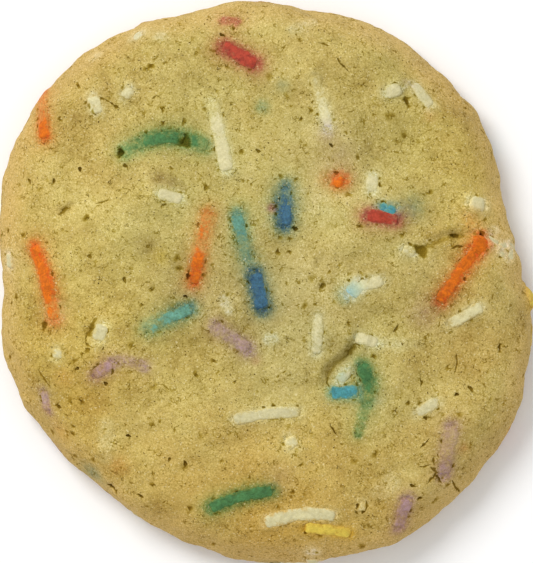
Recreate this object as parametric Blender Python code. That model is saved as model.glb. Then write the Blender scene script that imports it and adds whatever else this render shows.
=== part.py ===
"""Birthday cake cookie: a round, soft sugar cookie with rod sprinkles baked into its dough.

Metres, +Z up. The cookie lies on its flat underside, and the origin is the middle of that
underside. The dimensions below are in millimetres and degrees, and MM turns them to metres.

The dough is one closed skin. A flat round sheet of points is wrapped over a turned profile:
a low dome, a round roll at the rim, and a short tuck back in to the underside. Swells, folds,
cracks and pits then move the skin along its own normal. The sprinkles are short rods that
follow the skin, sunk in it to different depths, and one union joins them to the dough.
"""

import math

import bmesh
import bpy
import numpy as np
from mathutils import Vector, geometry

MM = 0.001
QUARTER_TURN = math.pi / 2
FULL_TURN = math.pi * 2

# Dough: the rim's radius every 15 degrees, anticlockwise from +X, and the turned profile
RIM_RADII = (
    32.7, 31.8, 33.6, 34.3, 35.2, 35.3, 35.7, 35.5, 36.6, 37.3, 36.9, 35.1,
    33.6, 34.8, 34.8, 33.9, 34.6, 35.0, 36.1, 36.6, 37.2, 36.6, 36.5, 35.2,
)
RIM_BUMPS = (
    (4, 0.35, 2.0),
    (22, -0.4, 4.0),
    (39, 0.4, 4.0),
    (53, -0.4, 4.0),
    (81, -0.55, 4.0),
    (115, 0.6, 3.0),
    (146, -0.45, 5.0),
    (158, 0.2, 2.5),
    (202, -0.5, 8.0),
    (249, -0.5, 4.5),
    (262, 0.35, 3.0),
    (297, 0.4, 3.0),
    (340, -0.45, 4.5),
    (351, 0.4, 2.5),
    (356, 0.9, 3.0),
)  # direction, rise, half width in degrees
CENTRE_HEIGHT = 12.6
SHOULDER_DROP = 3.4
ROLL_WIDTH = 5.5
ROLL_RUN = 9.6
WAIST_HEIGHT = 3.5
BASE_INSET = 1.5
TUCK_RUN = 4.1

# Relief
BROAD_SWELL = (0.20, 11.0, 4)
FINE_SWELL = (0.09, 4.6, 9)  # height, wavelength, seed
LUMPS = (
    (8.2, 14.2, 10.0, 0.35),
    (8.6, -7.0, 4.2, 0.50),
    (15.6, -11.0, 5.5, 0.40),
    (-21.3, 5.2, 8.0, 0.30),
    (-6.5, -13.4, 7.0, 0.30),
    (-4.0, -23.7, 6.0, 0.25),
    (-13.6, 25.7, 7.0, 0.30),
    (23.6, 16.7, 7.0, 0.25),
    (-12.3, -2.5, 3.5, -0.30),
    (19.1, -3.8, 4.0, -0.30),
    (-14.9, 3.9, 1.6, -0.45),
)  # x, y, radius, rise
FOLD = (
    (11.6, -6.6),
    (11.1, -8.4),
    (10.1, -9.9),
    (9.2, -10.4),
    (8.2, -11.2),
    (7.8, -12.2),
    (8.0, -13.6),
)
FOLD_TAIL = ((20.4, 4.2), (17.2, 1.4), (14.6, -1.8), (12.4, -5.0), (11.4, -7.2))
RIM_TEAR = (
    (33.0, 3.2),
    (30.5, 4.6),
    (28.6, 5.6),
    (27.0, 6.0),
    (25.4, 5.7),
    (23.8, 5.9),
    (21.4, 5.1),
    (19.7, 4.0),
)
LEDGE = ((-26.6, 8.5), (-24.1, 9.7))
SPRINKLE_GROOVE = ((-14.9, 13.4), (-12.4, 12.6), (-9.8, 11.4))
SHALLOW_GROOVE = ((-20.0, 11.9), (-16.8, 12.0))
UPPER_GROOVE = ((-11.0, 25.1), (-6.5, 26.7))
CREASES = (
    (FOLD, 0.6, 0.95, 0.30),
    (FOLD_TAIL, 2.4, 0.32, 0.0),
    (RIM_TEAR, 0.5, 0.35, 0.15),
    (LEDGE, 0.45, 0.45, 0.10),
    (SPRINKLE_GROOVE, 0.7, 0.45, 0.0),
    (SHALLOW_GROOVE, 0.7, 0.25, 0.0),
    (UPPER_GROOVE, 0.8, 0.20, 0.0),
)  # path, half width, depth, height of the lips beside it
LIP_PLACE = 1.9  # from the path, in half widths
PITS = (
    (19.6, 3.8, 0.75, 0.55),
    (7.2, -0.7, 0.50, 0.60),
    (24.0, 5.8, 0.50, 0.50),
    (-22.3, -6.4, 0.60, 0.60),
    (-26.7, 24.3, 0.45, 0.40),
    (-18.6, 16.5, 0.45, 0.50),
    (-10.5, 18.0, 0.45, 0.50),
    (6.7, 2.1, 0.45, 0.40),
    (17.7, 23.9, 0.45, 0.50),
    (-19.8, -26.5, 0.55, 0.35),
)  # x, y, radius, depth

# Sprinkles in the top: x, y, heading, length, width, rise at the start and the end, sideways bend
TOP_SPRINKLES = {
    "Orange": (
        (-28.3, 21.2, -86, 6.7, 1.5, 0.15, 0.30, 0.0),
        (-28.2, -0.3, -75, 10.5, 1.7, 0.35, 0.20, 0.4),
        (-8.3, 4.1, -102, 9.8, 1.6, 0.12, 0.30, 0.0),
        (25.0, 1.3, -125, 10.5, 1.65, 0.40, 0.25, 0.0),
        (27.1, 4.4, -125, 3.0, 2.2, 0.48, 0.30, 0.0),
        (8.8, 12.8, -7, 3.0, 1.7, -0.30, 0.40, 0.0),
    ),
    "Red": (
        (-3.4, 28.7, -29, 5.7, 1.8, 0.20, 0.35, 0.0),
        (14.7, 8.0, -8, 4.6, 1.6, 0.30, 0.30, 0.0),
    ),
    "Green": (
        (-12.8, 16.8, 4, 11.4, 1.6, 0.15, 0.20, 1.4),
        (-3.1, -27.8, 16, 8.9, 1.5, 0.30, 0.30, 0.3),
        (12.6, -13.0, -78, 5.4, 1.6, 0.45, 0.12, 0.4),
    ),
    "Teal": (
        (-3.1, 5.7, -77, 6.4, 1.6, 0.25, 0.00, 0.0),
        (-12.3, -4.8, 27, 7.0, 1.7, 0.12, 0.30, 0.0),
    ),
    "Blue": (
        (2.4, 10.6, -98, 3.2, 1.2, 0.12, 0.20, 0.0),
        (2.3, 8.5, -88, 3.8, 2.0, 0.20, 0.22, 0.0),
        (-1.0, -1.3, -76, 5.6, 1.9, 0.25, 0.25, 0.0),
    ),
    "Sky": (
        (10.1, -14.2, 2, 4.0, 1.7, 0.45, 0.40, 0.0),
        (15.4, 9.15, -9, 2.7, 1.3, 0.12, 0.18, 0.0),
    ),
    "Lilac": (
        (-20.8, -11.3, 38, 3.3, 1.5, 0.30, 0.25, 0.0),
        (17.4, -29.5, -107, 4.7, 1.7, 0.25, 0.20, 0.0),
        (-28.2, -15.4, -78, 3.2, 1.4, 0.15, 0.15, 0.0),
        (-4.3, -7.3, -35, 6.0, 1.7, 0.12, 0.20, 0.0),
        (23.1, -21.6, -99, 7.2, 2.0, 0.15, 0.15, 0.0),
    ),
    "Yellow": ((7.9, -31.9, -9, 6.6, 1.5, 0.40, 0.30, 0.0),),
    "Cream": (
        (-5.9, 18.3, -78, 9.6, 1.8, 0.20, 0.40, 0.0),
        (7.1, 22.8, -76, 7.5, 1.5, 0.25, 0.15, 0.0),
        (-12.2, 10.7, -15, 3.6, 1.4, 0.40, 0.30, 0.0),
        (-21.8, 22.4, -76, 3.0, 1.8, 0.35, 0.30, 0.0),
        (-17.6, 23.9, 52, 2.2, 1.5, 0.20, 0.15, 0.0),
        (16.2, 24.2, 15, 2.8, 1.7, 0.30, 0.30, 0.0),
        (19.9, 23.6, -50, 4.2, 1.5, 0.40, 0.12, 0.0),
        (13.5, 12.3, -94, 2.8, 1.5, 0.20, 0.15, 0.0),
        (26.9, 9.8, -15, 2.6, 1.8, 0.40, 0.35, 0.0),
        (28.9, 5.0, -28, 2.2, 1.0, 0.12, 0.20, 0.0),
        (30.2, 4.3, 15, 1.6, 1.1, 0.30, 0.30, 0.0),
        (31.2, 4.3, -50, 1.4, 0.9, 0.35, 0.30, 0.0),
        (31.0, 3.3, 80, 1.7, 1.1, 0.30, 0.35, 0.0),
        (30.0, 3.3, -35, 1.3, 0.9, 0.25, 0.25, 0.0),
        (11.3, -1.0, 52, 2.9, 2.1, 0.30, 0.32, 0.0),
        (13.4, -0.3, 16, 3.8, 1.6, 0.32, 0.20, 0.0),
        (6.5, -6.8, -93, 5.5, 1.4, 0.25, 0.25, 0.0),
        (12.8, -7.6, -18, 3.3, 1.4, 0.35, 0.30, 0.0),
        (9.8, -12.0, 52, 2.6, 1.5, 0.35, 0.12, 0.0),
        (25.3, -4.4, 29, 5.3, 1.5, 0.20, 0.20, 0.0),
        (-21.1, -6.6, -106, 2.9, 1.6, 0.35, 0.25, 0.0),
        (-26.6, -9.3, -90, 1.9, 1.4, 0.25, 0.20, 0.0),
        (0.1, -17.2, 6, 9.1, 1.4, 0.35, 0.35, 0.3),
        (3.2, -20.7, -56, 2.2, 1.7, 0.25, 0.20, 0.0),
        (4.3, -30.3, 6, 9.7, 1.7, 0.40, 0.40, 0.5),
        (20.5, -16.1, 27, 3.6, 1.4, 0.30, 0.25, 0.0),
        (18.2, 3.8, -20, 2.2, 1.4, 0.30, 0.10, 0.0),
        (12.2, -28.9, 75, 1.7, 1.1, 0.20, 0.12, 0.0),
        (-16.4, 31.3, 25, 1.9, 1.4, 0.22, 0.20, 0.0),
    ),
}

# Sprinkles in the wall: direction, drop (0 at the shoulder, 1 at the waist), slant (0 upright,
# 90 along the rim), length, width, rise
RIM_SPRINKLES = {
    "Yellow": ((-3.6, 0.82, 80, 3.0, 1.6, 0.55),),
    "Cream": ((175.5, 0.60, 85, 2.4, 1.3, 0.30), (-80.5, 0.80, 85, 2.2, 1.3, 0.30)),
}
WALL_COLOURS = (
    "Cream", "Teal", "Cream", "Red", "Cream", "Orange", "Green",
    "Cream", "Lilac", "Cream", "Blue", "Cream", "Orange", "Yellow",
)  # one sprinkle in each sector, anticlockwise from +X
WALL_SEED = 7
WALL_PLAY = 0.3
WALL_SLANTS = (60, 120)
WALL_LIMITS = ((1.09, 1.15), (2.4, 4.2), (1.4, 1.7), (0.12, 0.18))  # drop, length, width, rise
LOWEST_DROP = 1.20

SPRINKLE_SIDES = 8
SPRINKLE_FLATNESS = 0.8
SPRINKLE_SQUARENESS = 0.75
STATION_STEP = 2.4
TIP_SCALE = 0.6
TIP_REACH = 0.45

# Mesh
GRID_STEP = 1.5
BASE_STEP = 5.0
RING_STEP = 2.4
CREASE_STEP = 1.1
CREASE_ROWS = (-2.4, -1.2, 0.0, 1.2, 2.4)  # in half widths
PIT_CORNERS = 6
PIT_RING = 1.3  # in pit radii
KEEP_APART = 0.62
SHEET_REACH = 60.0
UNDERSIDE_REACH = 45.0
EDGE_CLEARANCE = 0.8  # in grid steps
UNDERSIDE_CLEARANCE = 0.6
JOIN_GAP = 1e-5
SLOPE_STEP = 0.02
SWELL_WAVES = 14

# Colours as linear red, green and blue, with roughness
DOUGH_COLOUR = (0.50, 0.37, 0.12)
SPRINKLE_COLOURS = {
    "Orange": (0.68, 0.16, 0.014),
    "Red": (0.46, 0.06, 0.03),
    "Green": (0.075, 0.20, 0.065),
    "Teal": (0.13, 0.27, 0.17),
    "Blue": (0.07, 0.16, 0.22),
    "Sky": (0.08, 0.31, 0.36),
    "Lilac": (0.42, 0.24, 0.25),
    "Yellow": (0.66, 0.49, 0.08),
    "Cream": (0.67, 0.64, 0.37),
}
DOUGH_ROUGHNESS = 0.75
SPRINKLE_ROUGHNESS = 0.5


def clear_scene():
    for old in list(bpy.data.objects):
        bpy.data.objects.remove(old, do_unlink=True)


def rim_radius(angle):
    """Plan radius in each direction, by a closed Catmull-Rom curve through RIM_RADII."""
    knots = np.array(RIM_RADII)
    place = (angle / FULL_TURN * len(knots)) % len(knots)
    first = np.floor(place).astype(int)
    t = place - first
    before, start, end, after = (knots[(first + step) % len(knots)] for step in (-1, 0, 1, 2))
    cubic = 3 * (start - end) + after - before
    radius = start + t / 2 * (end - before + t * (2 * before - 5 * start + 4 * end - after + t * cubic))
    for direction, rise, half_width in RIM_BUMPS:
        turned = (np.degrees(angle) - direction + 180) % 360 - 180
        radius = radius + rise * np.exp(-((turned / half_width) ** 2))
    return radius


def wrapped(u, v):
    """The turned profile: where points of the flat sheet lie on the smooth dough."""
    run = np.hypot(u, v)
    angle = np.arctan2(v, u)
    rim = rim_radius(angle)
    shoulder = rim - ROLL_WIDTH
    roll = np.clip((run - shoulder) / ROLL_RUN, 0, 1) * QUARTER_TURN
    tuck = np.clip((run - shoulder - ROLL_RUN) / TUCK_RUN, 0, 1) * QUARTER_TURN
    reach = np.minimum(run, shoulder) + ROLL_WIDTH * np.sin(roll) - BASE_INSET * (1 - np.cos(tuck))
    crown = CENTRE_HEIGHT - SHOULDER_DROP * (reach / rim) ** 2
    height = WAIST_HEIGHT * (1 - np.sin(tuck)) + (crown - WAIST_HEIGHT) * np.cos(roll)
    return np.stack((reach * np.cos(angle), reach * np.sin(angle), height), axis=-1)


def sheet_place(x, y):
    """The sheet point that is wrapped to a place on the top, seen from above."""
    reach = np.hypot(x, y)
    angle = np.arctan2(y, x)
    shoulder = rim_radius(angle) - ROLL_WIDTH
    past = np.clip((reach - shoulder) / ROLL_WIDTH, 0, 0.999)
    run = np.where(past > 0, shoulder + ROLL_RUN * np.arcsin(past) / QUARTER_TURN, reach)
    return run * np.cos(angle), run * np.sin(angle)


def sheet_edge(angle):
    """The sheet's own radius, which is wrapped to the edge of the underside."""
    return rim_radius(angle) - ROLL_WIDTH + ROLL_RUN + TUCK_RUN


def unit(vectors):
    return vectors / np.linalg.norm(vectors, axis=-1, keepdims=True)


def swell(points, height, wavelength, seed):
    """A smooth random field of the given height: plane waves in seeded directions."""
    draw = np.random.default_rng(seed)
    directions = unit(draw.normal(size=(SWELL_WAVES, 3)))
    rates = FULL_TURN / wavelength * draw.uniform(0.7, 1.3, SWELL_WAVES)
    phases = draw.uniform(0, FULL_TURN, SWELL_WAVES)
    summed = np.sin(points @ (directions * rates[:, None]).T + phases).sum(axis=-1)
    return height * math.sqrt(2 / SWELL_WAVES) * summed


def path_distance(x, y, path):
    """Distance of each point to an open path, and how far along the path it is, 0 to 1."""
    nearest = np.full(np.shape(x), np.inf)
    along = np.zeros(np.shape(x))
    legs = len(path) - 1
    for leg in range(legs):
        (x0, y0), (x1, y1) = path[leg], path[leg + 1]
        run = (x1 - x0) ** 2 + (y1 - y0) ** 2
        t = np.clip(((x - x0) * (x1 - x0) + (y - y0) * (y1 - y0)) / run, 0, 1)
        gap = np.hypot(x - x0 - t * (x1 - x0), y - y0 - t * (y1 - y0))
        along = np.where(gap < nearest, (leg + t) / legs, along)
        nearest = np.minimum(nearest, gap)
    return nearest, along


def crease_relief(x, y):
    """Folds and cracks: a valley that fades at its ends, between low lips."""
    relief = np.zeros(np.shape(x))
    for path, half_width, depth, lip in CREASES:
        gap, along = path_distance(x, y, path)
        fade = np.clip(4 * np.minimum(along, 1 - along) + 0.25, 0, 1)
        valley = np.exp(-((gap / half_width) ** 2))
        lips = np.exp(-((gap / half_width - LIP_PLACE) ** 2))
        relief += fade * (lip * lips - depth * valley)
    return relief


def bell_relief(x, y, bells):
    """Round swells or hollows, each a bell of its own radius and height."""
    relief = np.zeros(np.shape(x))
    for bell_x, bell_y, radius, height in bells:
        relief += height * np.exp(-((x - bell_x) ** 2 + (y - bell_y) ** 2) / radius**2)
    return relief


def skin(u, v):
    """Points of the finished dough surface and its smooth normals, for places on the sheet."""
    smooth = wrapped(u, v)
    across = wrapped(u + SLOPE_STEP, v) - wrapped(u - SLOPE_STEP, v)
    along = wrapped(u, v + SLOPE_STEP) - wrapped(u, v - SLOPE_STEP)
    normals = unit(np.cross(across, along))
    x, y, height = smooth[..., 0], smooth[..., 1], smooth[..., 2]
    relief = swell(smooth, *BROAD_SWELL) + swell(smooth, *FINE_SWELL)
    relief += crease_relief(x, y) + bell_relief(x, y, LUMPS) - bell_relief(x, y, PITS)
    fade = np.clip(height / WAIST_HEIGHT, 0, 1)
    return smooth + normals * (relief * fade)[..., None], normals


def polar(radius, angle):
    return Vector((radius * math.cos(angle), radius * math.sin(angle)))


def sheet_ring():
    """Points round the edge of the sheet, where the dough meets what it lies on."""
    count = round(FULL_TURN * max(RIM_RADII) / RING_STEP)
    angles = [index / count * FULL_TURN for index in range(count)]
    return [polar(sheet_edge(angle), angle) for angle in angles]


def triangular_grid(step, reach, outline):
    """Points of a triangular grid inside an outline, which gives a radius for each direction."""
    row_step = step * math.sqrt(0.75)
    rows = math.ceil(reach / row_step)
    columns = math.ceil(reach / step)
    inside = []
    for row in range(-rows, rows + 1):
        for column in range(-columns, columns + 1):
            place = Vector(((column + row % 2 / 2) * step, row * row_step))
            if place.length < outline(math.atan2(place.y, place.x)):
                inside.append(place)
    return inside


def relief_points():
    """Closer points along each crease and round each pit, on the sheet."""
    places = []
    for path, half_width, _depth, _lip in CREASES:
        for start, end in zip(path, path[1:]):
            forward = Vector(end) - Vector(start)
            side = forward.orthogonal().normalized() * half_width
            count = max(1, round(forward.length / CREASE_STEP))
            for index in range(count):
                middle = Vector(start) + forward * (index / count)
                places += [middle + side * row for row in CREASE_ROWS]
    for x, y, radius, _depth in PITS:
        places.append(Vector((x, y)))
        for corner in range(PIT_CORNERS):
            places.append(Vector((x, y)) + polar(PIT_RING * radius, corner / PIT_CORNERS * FULL_TURN))
    return [Vector(np.stack(sheet_place(place.x, place.y))) for place in places]


def thinned(points, gaps):
    """The points in order, without those nearer than their own gap to one kept before."""
    kept = []
    cells = {}
    size = max(gaps)
    around = [(i, j) for i in (-1, 0, 1) for j in (-1, 0, 1)]
    for point, gap in zip(points, gaps):
        column, row = math.floor(point.x / size), math.floor(point.y / size)
        near = [other for i, j in around for other in cells.get((column + i, row + j), ())]
        if all((other - point).length >= gap for other in near):
            kept.append(point)
            cells.setdefault((column, row), []).append(point)
    return kept


def triangulated(ring, inner):
    """Triangles over a ring of points and the points inside it."""
    outline = list(range(len(ring)))
    edges = list(zip(outline, outline[1:] + outline[:1]))
    cut = geometry.delaunay_2d_cdt(ring + inner, edges, [outline], 1, JOIN_GAP)
    faces, origins = cut[2], cut[3]
    return [[origins[corner][0] for corner in face] for face in faces]


def dough_object():
    """The dough: the wrapped sheet, closed by a flat underside on the same ring."""
    ring = sheet_ring()
    fine = relief_points()
    clearance = EDGE_CLEARANCE * GRID_STEP
    grid = triangular_grid(GRID_STEP, SHEET_REACH, lambda angle: sheet_edge(angle) - clearance)
    wide_gap = KEEP_APART * GRID_STEP
    inner = thinned(fine + grid, [wide_gap / 2] * len(fine) + [wide_gap] * len(grid))
    sheet = np.array([tuple(point) for point in ring + inner])
    points, _normals = skin(sheet[:, 0], sheet[:, 1])
    points[: len(ring), 2] = 0
    foot = [Vector(point[:2]) for point in points[: len(ring)]]
    inset = BASE_INSET + UNDERSIDE_CLEARANCE * BASE_STEP
    under = triangular_grid(BASE_STEP, UNDERSIDE_REACH, lambda angle: rim_radius(angle) - inset)

    mesh = bmesh.new()
    top = [mesh.verts.new(Vector(point) * MM) for point in points]
    base = top[: len(ring)] + [mesh.verts.new((place.x * MM, place.y * MM, 0)) for place in under]
    for face in triangulated(ring, inner):
        mesh.faces.new([top[corner] for corner in face])
    for face in triangulated(foot, under):
        mesh.faces.new([base[corner] for corner in reversed(face)])
    return finished_object("cookie", mesh, "Dough")


def material(name):
    """A plain Principled material in the colour of the dough or of one kind of sprinkle."""
    made = bpy.data.materials.get(name)
    if made is None:
        colour = SPRINKLE_COLOURS.get(name, DOUGH_COLOUR)
        roughness = SPRINKLE_ROUGHNESS if name in SPRINKLE_COLOURS else DOUGH_ROUGHNESS
        made = bpy.data.materials.new(name)
        made.use_nodes = True
        made.diffuse_color = (*colour, 1)
        shader = made.node_tree.nodes["Principled BSDF"]
        shader.inputs["Base Color"].default_value = (*colour, 1)
        shader.inputs["Roughness"].default_value = roughness
        shader.inputs["Metallic"].default_value = 0
    return made


def finished_object(name, mesh, material_name):
    data = bpy.data.meshes.new(name)
    mesh.to_mesh(data)
    mesh.free()
    data.materials.append(material(material_name))
    data.shade_smooth()
    made = bpy.data.objects.new(name, data)
    bpy.context.scene.collection.objects.link(made)
    return made


def section():
    """Corners of a rod's blunt section: across and up, for a rod of unit half width."""
    corners = []
    for corner in range(SPRINKLE_SIDES):
        angle = (corner + 0.5) / SPRINKLE_SIDES * FULL_TURN
        across = math.copysign(abs(math.cos(angle)) ** SPRINKLE_SQUARENESS, math.cos(angle))
        up = math.copysign(abs(math.sin(angle)) ** SPRINKLE_SQUARENESS, math.sin(angle))
        corners.append((across, up * SPRINKLE_FLATNESS))
    return corners


def sprinkle_object(colour, path, rises, width):
    """A rod with blunt ends along places on the sheet, each with its rise out of the dough."""
    sheet = np.array(path)
    half = width / 2
    crown = max(up for _across, up in section())
    points, normals = skin(sheet[:, 0], sheet[:, 1])
    centres = points + normals * (np.array(rises) - half * crown)[:, None]
    forwards = unit(np.gradient(centres, axis=0))
    sides = unit(np.cross(normals, forwards))
    ups = np.cross(forwards, sides)
    reach = half * TIP_REACH
    last = len(centres) - 1
    stations = [(centres[0] - forwards[0] * reach, 0, TIP_SCALE)]
    stations += [(centre, index, 1) for index, centre in enumerate(centres)]
    stations.append((centres[last] + forwards[last] * reach, last, TIP_SCALE))

    mesh = bmesh.new()
    loops = []
    for centre, index, scale in stations:
        offsets = [sides[index] * across + ups[index] * up for across, up in section()]
        loops.append([mesh.verts.new(Vector(centre + offset * half * scale) * MM) for offset in offsets])
    for loop, after in zip(loops, loops[1:]):
        for corner in range(SPRINKLE_SIDES):
            turn = (corner + 1) % SPRINKLE_SIDES
            mesh.faces.new((loop[corner], loop[turn], after[turn], after[corner]))
    mesh.faces.new(list(reversed(loops[0])))
    mesh.faces.new(loops[-1])
    bmesh.ops.recalc_face_normals(mesh, faces=mesh.faces)
    return finished_object("Sprinkle", mesh, colour)


def core_steps(length, width, bend=0.0):
    """The rod's length between its blunt ends, and the places of its stations along it, 0 to 1."""
    core = length - width * (1 + TIP_REACH) / 2
    count = max(2, round(core / STATION_STEP) + 1 + (bend != 0))
    return core, [index / (count - 1) for index in range(count)]


def top_sprinkle(colour, x, y, heading, length, width, rise, end_rise, bend):
    """A sprinkle in the top, from its place as seen from above."""
    forward = polar(1, math.radians(heading))
    left = polar(1, math.radians(heading + 90))
    core, steps = core_steps(length, width, bend)
    path = []
    for t in steps:
        place = Vector((x, y)) + forward * core * (t - 0.5) + left * bend * (1 - (2 * t - 1) ** 2)
        path.append(sheet_place(place.x, place.y))
    rises = [rise + (end_rise - rise) * t for t in steps]
    return sprinkle_object(colour, path, rises, width)


def wall_sprinkle(colour, direction, drop, slant, length, width, rise):
    """A sprinkle in the rim's wall, kept clear of the underside."""
    angle = math.radians(direction)
    rim = rim_radius(angle)
    core, steps = core_steps(length, width)
    path = []
    for t in steps:
        along = core * (t - 0.5)
        down = min(ROLL_RUN * drop + along * math.cos(math.radians(slant)), ROLL_RUN * LOWEST_DROP)
        turned = angle + along * math.sin(math.radians(slant)) / rim
        path.append(polar(rim - ROLL_WIDTH + down, turned))
    return sprinkle_object(colour, path, [rise] * len(path), width)


def all_sprinkles():
    made = []
    for colour, rows in TOP_SPRINKLES.items():
        made += [top_sprinkle(colour, *row) for row in rows]
    for colour, rows in RIM_SPRINKLES.items():
        made += [wall_sprinkle(colour, *row) for row in rows]
    draw = np.random.default_rng(WALL_SEED)
    sector = 360 / len(WALL_COLOURS)
    for index, colour in enumerate(WALL_COLOURS):
        direction = sector * (index + 0.5 + draw.uniform(-WALL_PLAY, WALL_PLAY))
        slant = draw.uniform(*WALL_SLANTS)
        drop, length, width, rise = (draw.uniform(*limits) for limits in WALL_LIMITS)
        made.append(wall_sprinkle(colour, direction, drop, slant, length, width, rise))
    return made


def fuse(dough, pieces):
    """Joins the pieces to the dough by one union, then removes them."""
    group = bpy.data.collections.new("Sprinkles")
    bpy.context.scene.collection.children.link(group)
    for piece in pieces:
        bpy.context.scene.collection.objects.unlink(piece)
        group.objects.link(piece)
    union = dough.modifiers.new("Union", "BOOLEAN")
    union.operation = "UNION"
    union.solver = "EXACT"
    union.material_mode = "TRANSFER"
    union.operand_type = "COLLECTION"
    union.collection = group
    graph = bpy.context.evaluated_depsgraph_get()
    joined = bpy.data.meshes.new_from_object(dough.evaluated_get(graph), depsgraph=graph)
    dough.modifiers.clear()
    dough.data = joined
    for piece in pieces:
        bpy.data.objects.remove(piece, do_unlink=True)
    bpy.data.collections.remove(group)


def centre_on_origin(part):
    """Moves the mesh so that the middle of its box is over the origin."""
    corners = np.array([vertex.co for vertex in part.data.vertices])
    middle = (corners.min(axis=0) + corners.max(axis=0)) / 2
    for vertex in part.data.vertices:
        vertex.co.x -= middle[0]
        vertex.co.y -= middle[1]


def main():
    clear_scene()
    cookie = dough_object()
    fuse(cookie, all_sprinkles())
    centre_on_origin(cookie)


main()
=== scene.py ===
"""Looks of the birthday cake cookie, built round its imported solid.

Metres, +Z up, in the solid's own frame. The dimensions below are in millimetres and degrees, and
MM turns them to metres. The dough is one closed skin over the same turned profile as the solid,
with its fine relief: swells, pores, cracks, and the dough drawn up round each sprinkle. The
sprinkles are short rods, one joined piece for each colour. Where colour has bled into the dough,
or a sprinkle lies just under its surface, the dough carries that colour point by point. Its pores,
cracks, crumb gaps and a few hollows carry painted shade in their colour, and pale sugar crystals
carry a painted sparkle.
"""

import math
from collections import namedtuple

import bpy
import numpy as np
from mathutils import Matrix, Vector, geometry, kdtree


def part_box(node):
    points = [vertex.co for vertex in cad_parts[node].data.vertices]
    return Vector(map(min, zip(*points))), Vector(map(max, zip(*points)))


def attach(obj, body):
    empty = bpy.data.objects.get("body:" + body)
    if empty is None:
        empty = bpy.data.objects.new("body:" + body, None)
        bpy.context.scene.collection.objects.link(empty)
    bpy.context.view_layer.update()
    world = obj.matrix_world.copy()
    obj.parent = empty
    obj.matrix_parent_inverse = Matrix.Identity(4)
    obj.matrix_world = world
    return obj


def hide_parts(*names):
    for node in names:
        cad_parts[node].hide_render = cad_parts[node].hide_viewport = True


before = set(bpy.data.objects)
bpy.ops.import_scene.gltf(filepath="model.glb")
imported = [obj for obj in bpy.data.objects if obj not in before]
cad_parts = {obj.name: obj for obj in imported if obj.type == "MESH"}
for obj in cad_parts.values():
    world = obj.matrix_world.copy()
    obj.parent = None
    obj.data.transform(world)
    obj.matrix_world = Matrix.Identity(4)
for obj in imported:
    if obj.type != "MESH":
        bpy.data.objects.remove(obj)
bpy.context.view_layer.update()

MM = 0.001
QUARTER_TURN = math.pi / 2
FULL_TURN = math.pi * 2

# The solid's form, as its own source has it: rim radii every 15 degrees from +X, and the profile
RIM_RADII = (
    32.7, 31.8, 33.6, 34.3, 35.2, 35.3, 35.7, 35.5, 36.6, 37.3, 36.9, 35.1,
    33.6, 34.8, 34.8, 33.9, 34.6, 35.0, 36.1, 36.6, 37.2, 36.6, 36.5, 35.2,
)
RIM_BUMPS = (
    (4, 0.35, 2.0), (22, -0.4, 4.0), (39, 0.4, 4.0), (53, -0.4, 4.0), (81, -0.55, 4.0), (115, 0.6, 3.0),
    (146, -0.45, 5.0), (158, 0.2, 2.5), (202, -0.5, 8.0), (249, -0.5, 4.5), (262, 0.35, 3.0),
    (297, 0.4, 3.0), (340, -0.45, 4.5), (351, 0.4, 2.5), (356, 0.9, 3.0),
)  # direction, rise, half width in degrees
CENTRE_HEIGHT = 12.6
SHOULDER_DROP = 3.4
ROLL_WIDTH = 5.5
ROLL_RUN = 9.6
WAIST_HEIGHT = 3.5
BASE_INSET = 1.5
TUCK_RUN = 4.1

BROAD_SWELL = (0.2, 11.0, 4)
FINE_SWELL = (0.09, 4.6, 9)  # height, wavelength, seed
LUMPS = (
    (8.2, 14.2, 10.0, 0.35), (8.6, -7.0, 4.2, 0.5), (15.6, -11.0, 5.5, 0.4), (-21.3, 5.2, 8.0, 0.3),
    (-6.5, -13.4, 7.0, 0.3), (-4.0, -23.7, 6.0, 0.25), (-13.6, 25.7, 7.0, 0.3), (23.6, 16.7, 7.0, 0.25),
    (-12.3, -2.5, 3.5, -0.3), (19.1, -3.8, 4.0, -0.3), (-14.9, 3.9, 1.6, -0.45),
)  # x, y, radius, rise
FOLD = (
    (11.6, -6.6), (11.1, -8.4), (10.1, -9.9), (9.2, -10.4), (8.2, -11.2), (7.8, -12.2), (8.0, -13.6),
)
FOLD_TAIL = ((20.4, 4.2), (17.2, 1.4), (14.6, -1.8), (12.4, -5.0), (11.4, -7.2))
RIM_TEAR = (
    (33.0, 3.2), (30.5, 4.6), (28.6, 5.6), (27.0, 6.0), (25.4, 5.7), (23.8, 5.9), (21.4, 5.1),
    (19.7, 4.0),
)
LEDGE = ((-26.6, 8.5), (-24.1, 9.7))
SPRINKLE_GROOVE = ((-14.9, 13.4), (-12.4, 12.6), (-9.8, 11.4))
SHALLOW_GROOVE = ((-20.0, 11.9), (-16.8, 12.0))
UPPER_GROOVE = ((-11.0, 25.1), (-6.5, 26.7))
CREASES = (
    (FOLD, 0.6, 0.95, 0.3),
    (FOLD_TAIL, 2.4, 0.32, 0.0),
    (RIM_TEAR, 0.5, 0.35, 0.15),
    (LEDGE, 0.45, 0.45, 0.1),
    (SPRINKLE_GROOVE, 0.7, 0.45, 0.0),
    (SHALLOW_GROOVE, 0.7, 0.25, 0.0),
    (UPPER_GROOVE, 0.8, 0.2, 0.0),
)  # path, half width, depth, height of the lips beside it
LIP_PLACE = 1.9  # from the path, in half widths
CREASE_ENDS = (0.25, 4)  # share of the depth left at the ends, and how fast it grows from there
PITS = (
    (19.6, 3.8, 0.75, 0.55), (7.2, -0.7, 0.5, 0.6), (24.0, 5.8, 0.5, 0.5), (-22.3, -6.4, 0.6, 0.6),
    (-26.7, 24.3, 0.45, 0.4), (-18.6, 16.5, 0.45, 0.5), (-10.5, 18.0, 0.45, 0.5), (6.7, 2.1, 0.45, 0.4),
    (17.7, 23.9, 0.45, 0.5), (-19.8, -26.5, 0.55, 0.35),
)  # x, y, radius, depth
SLOPE_STEP = 0.02
SWELL_WAVES = 14
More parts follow.
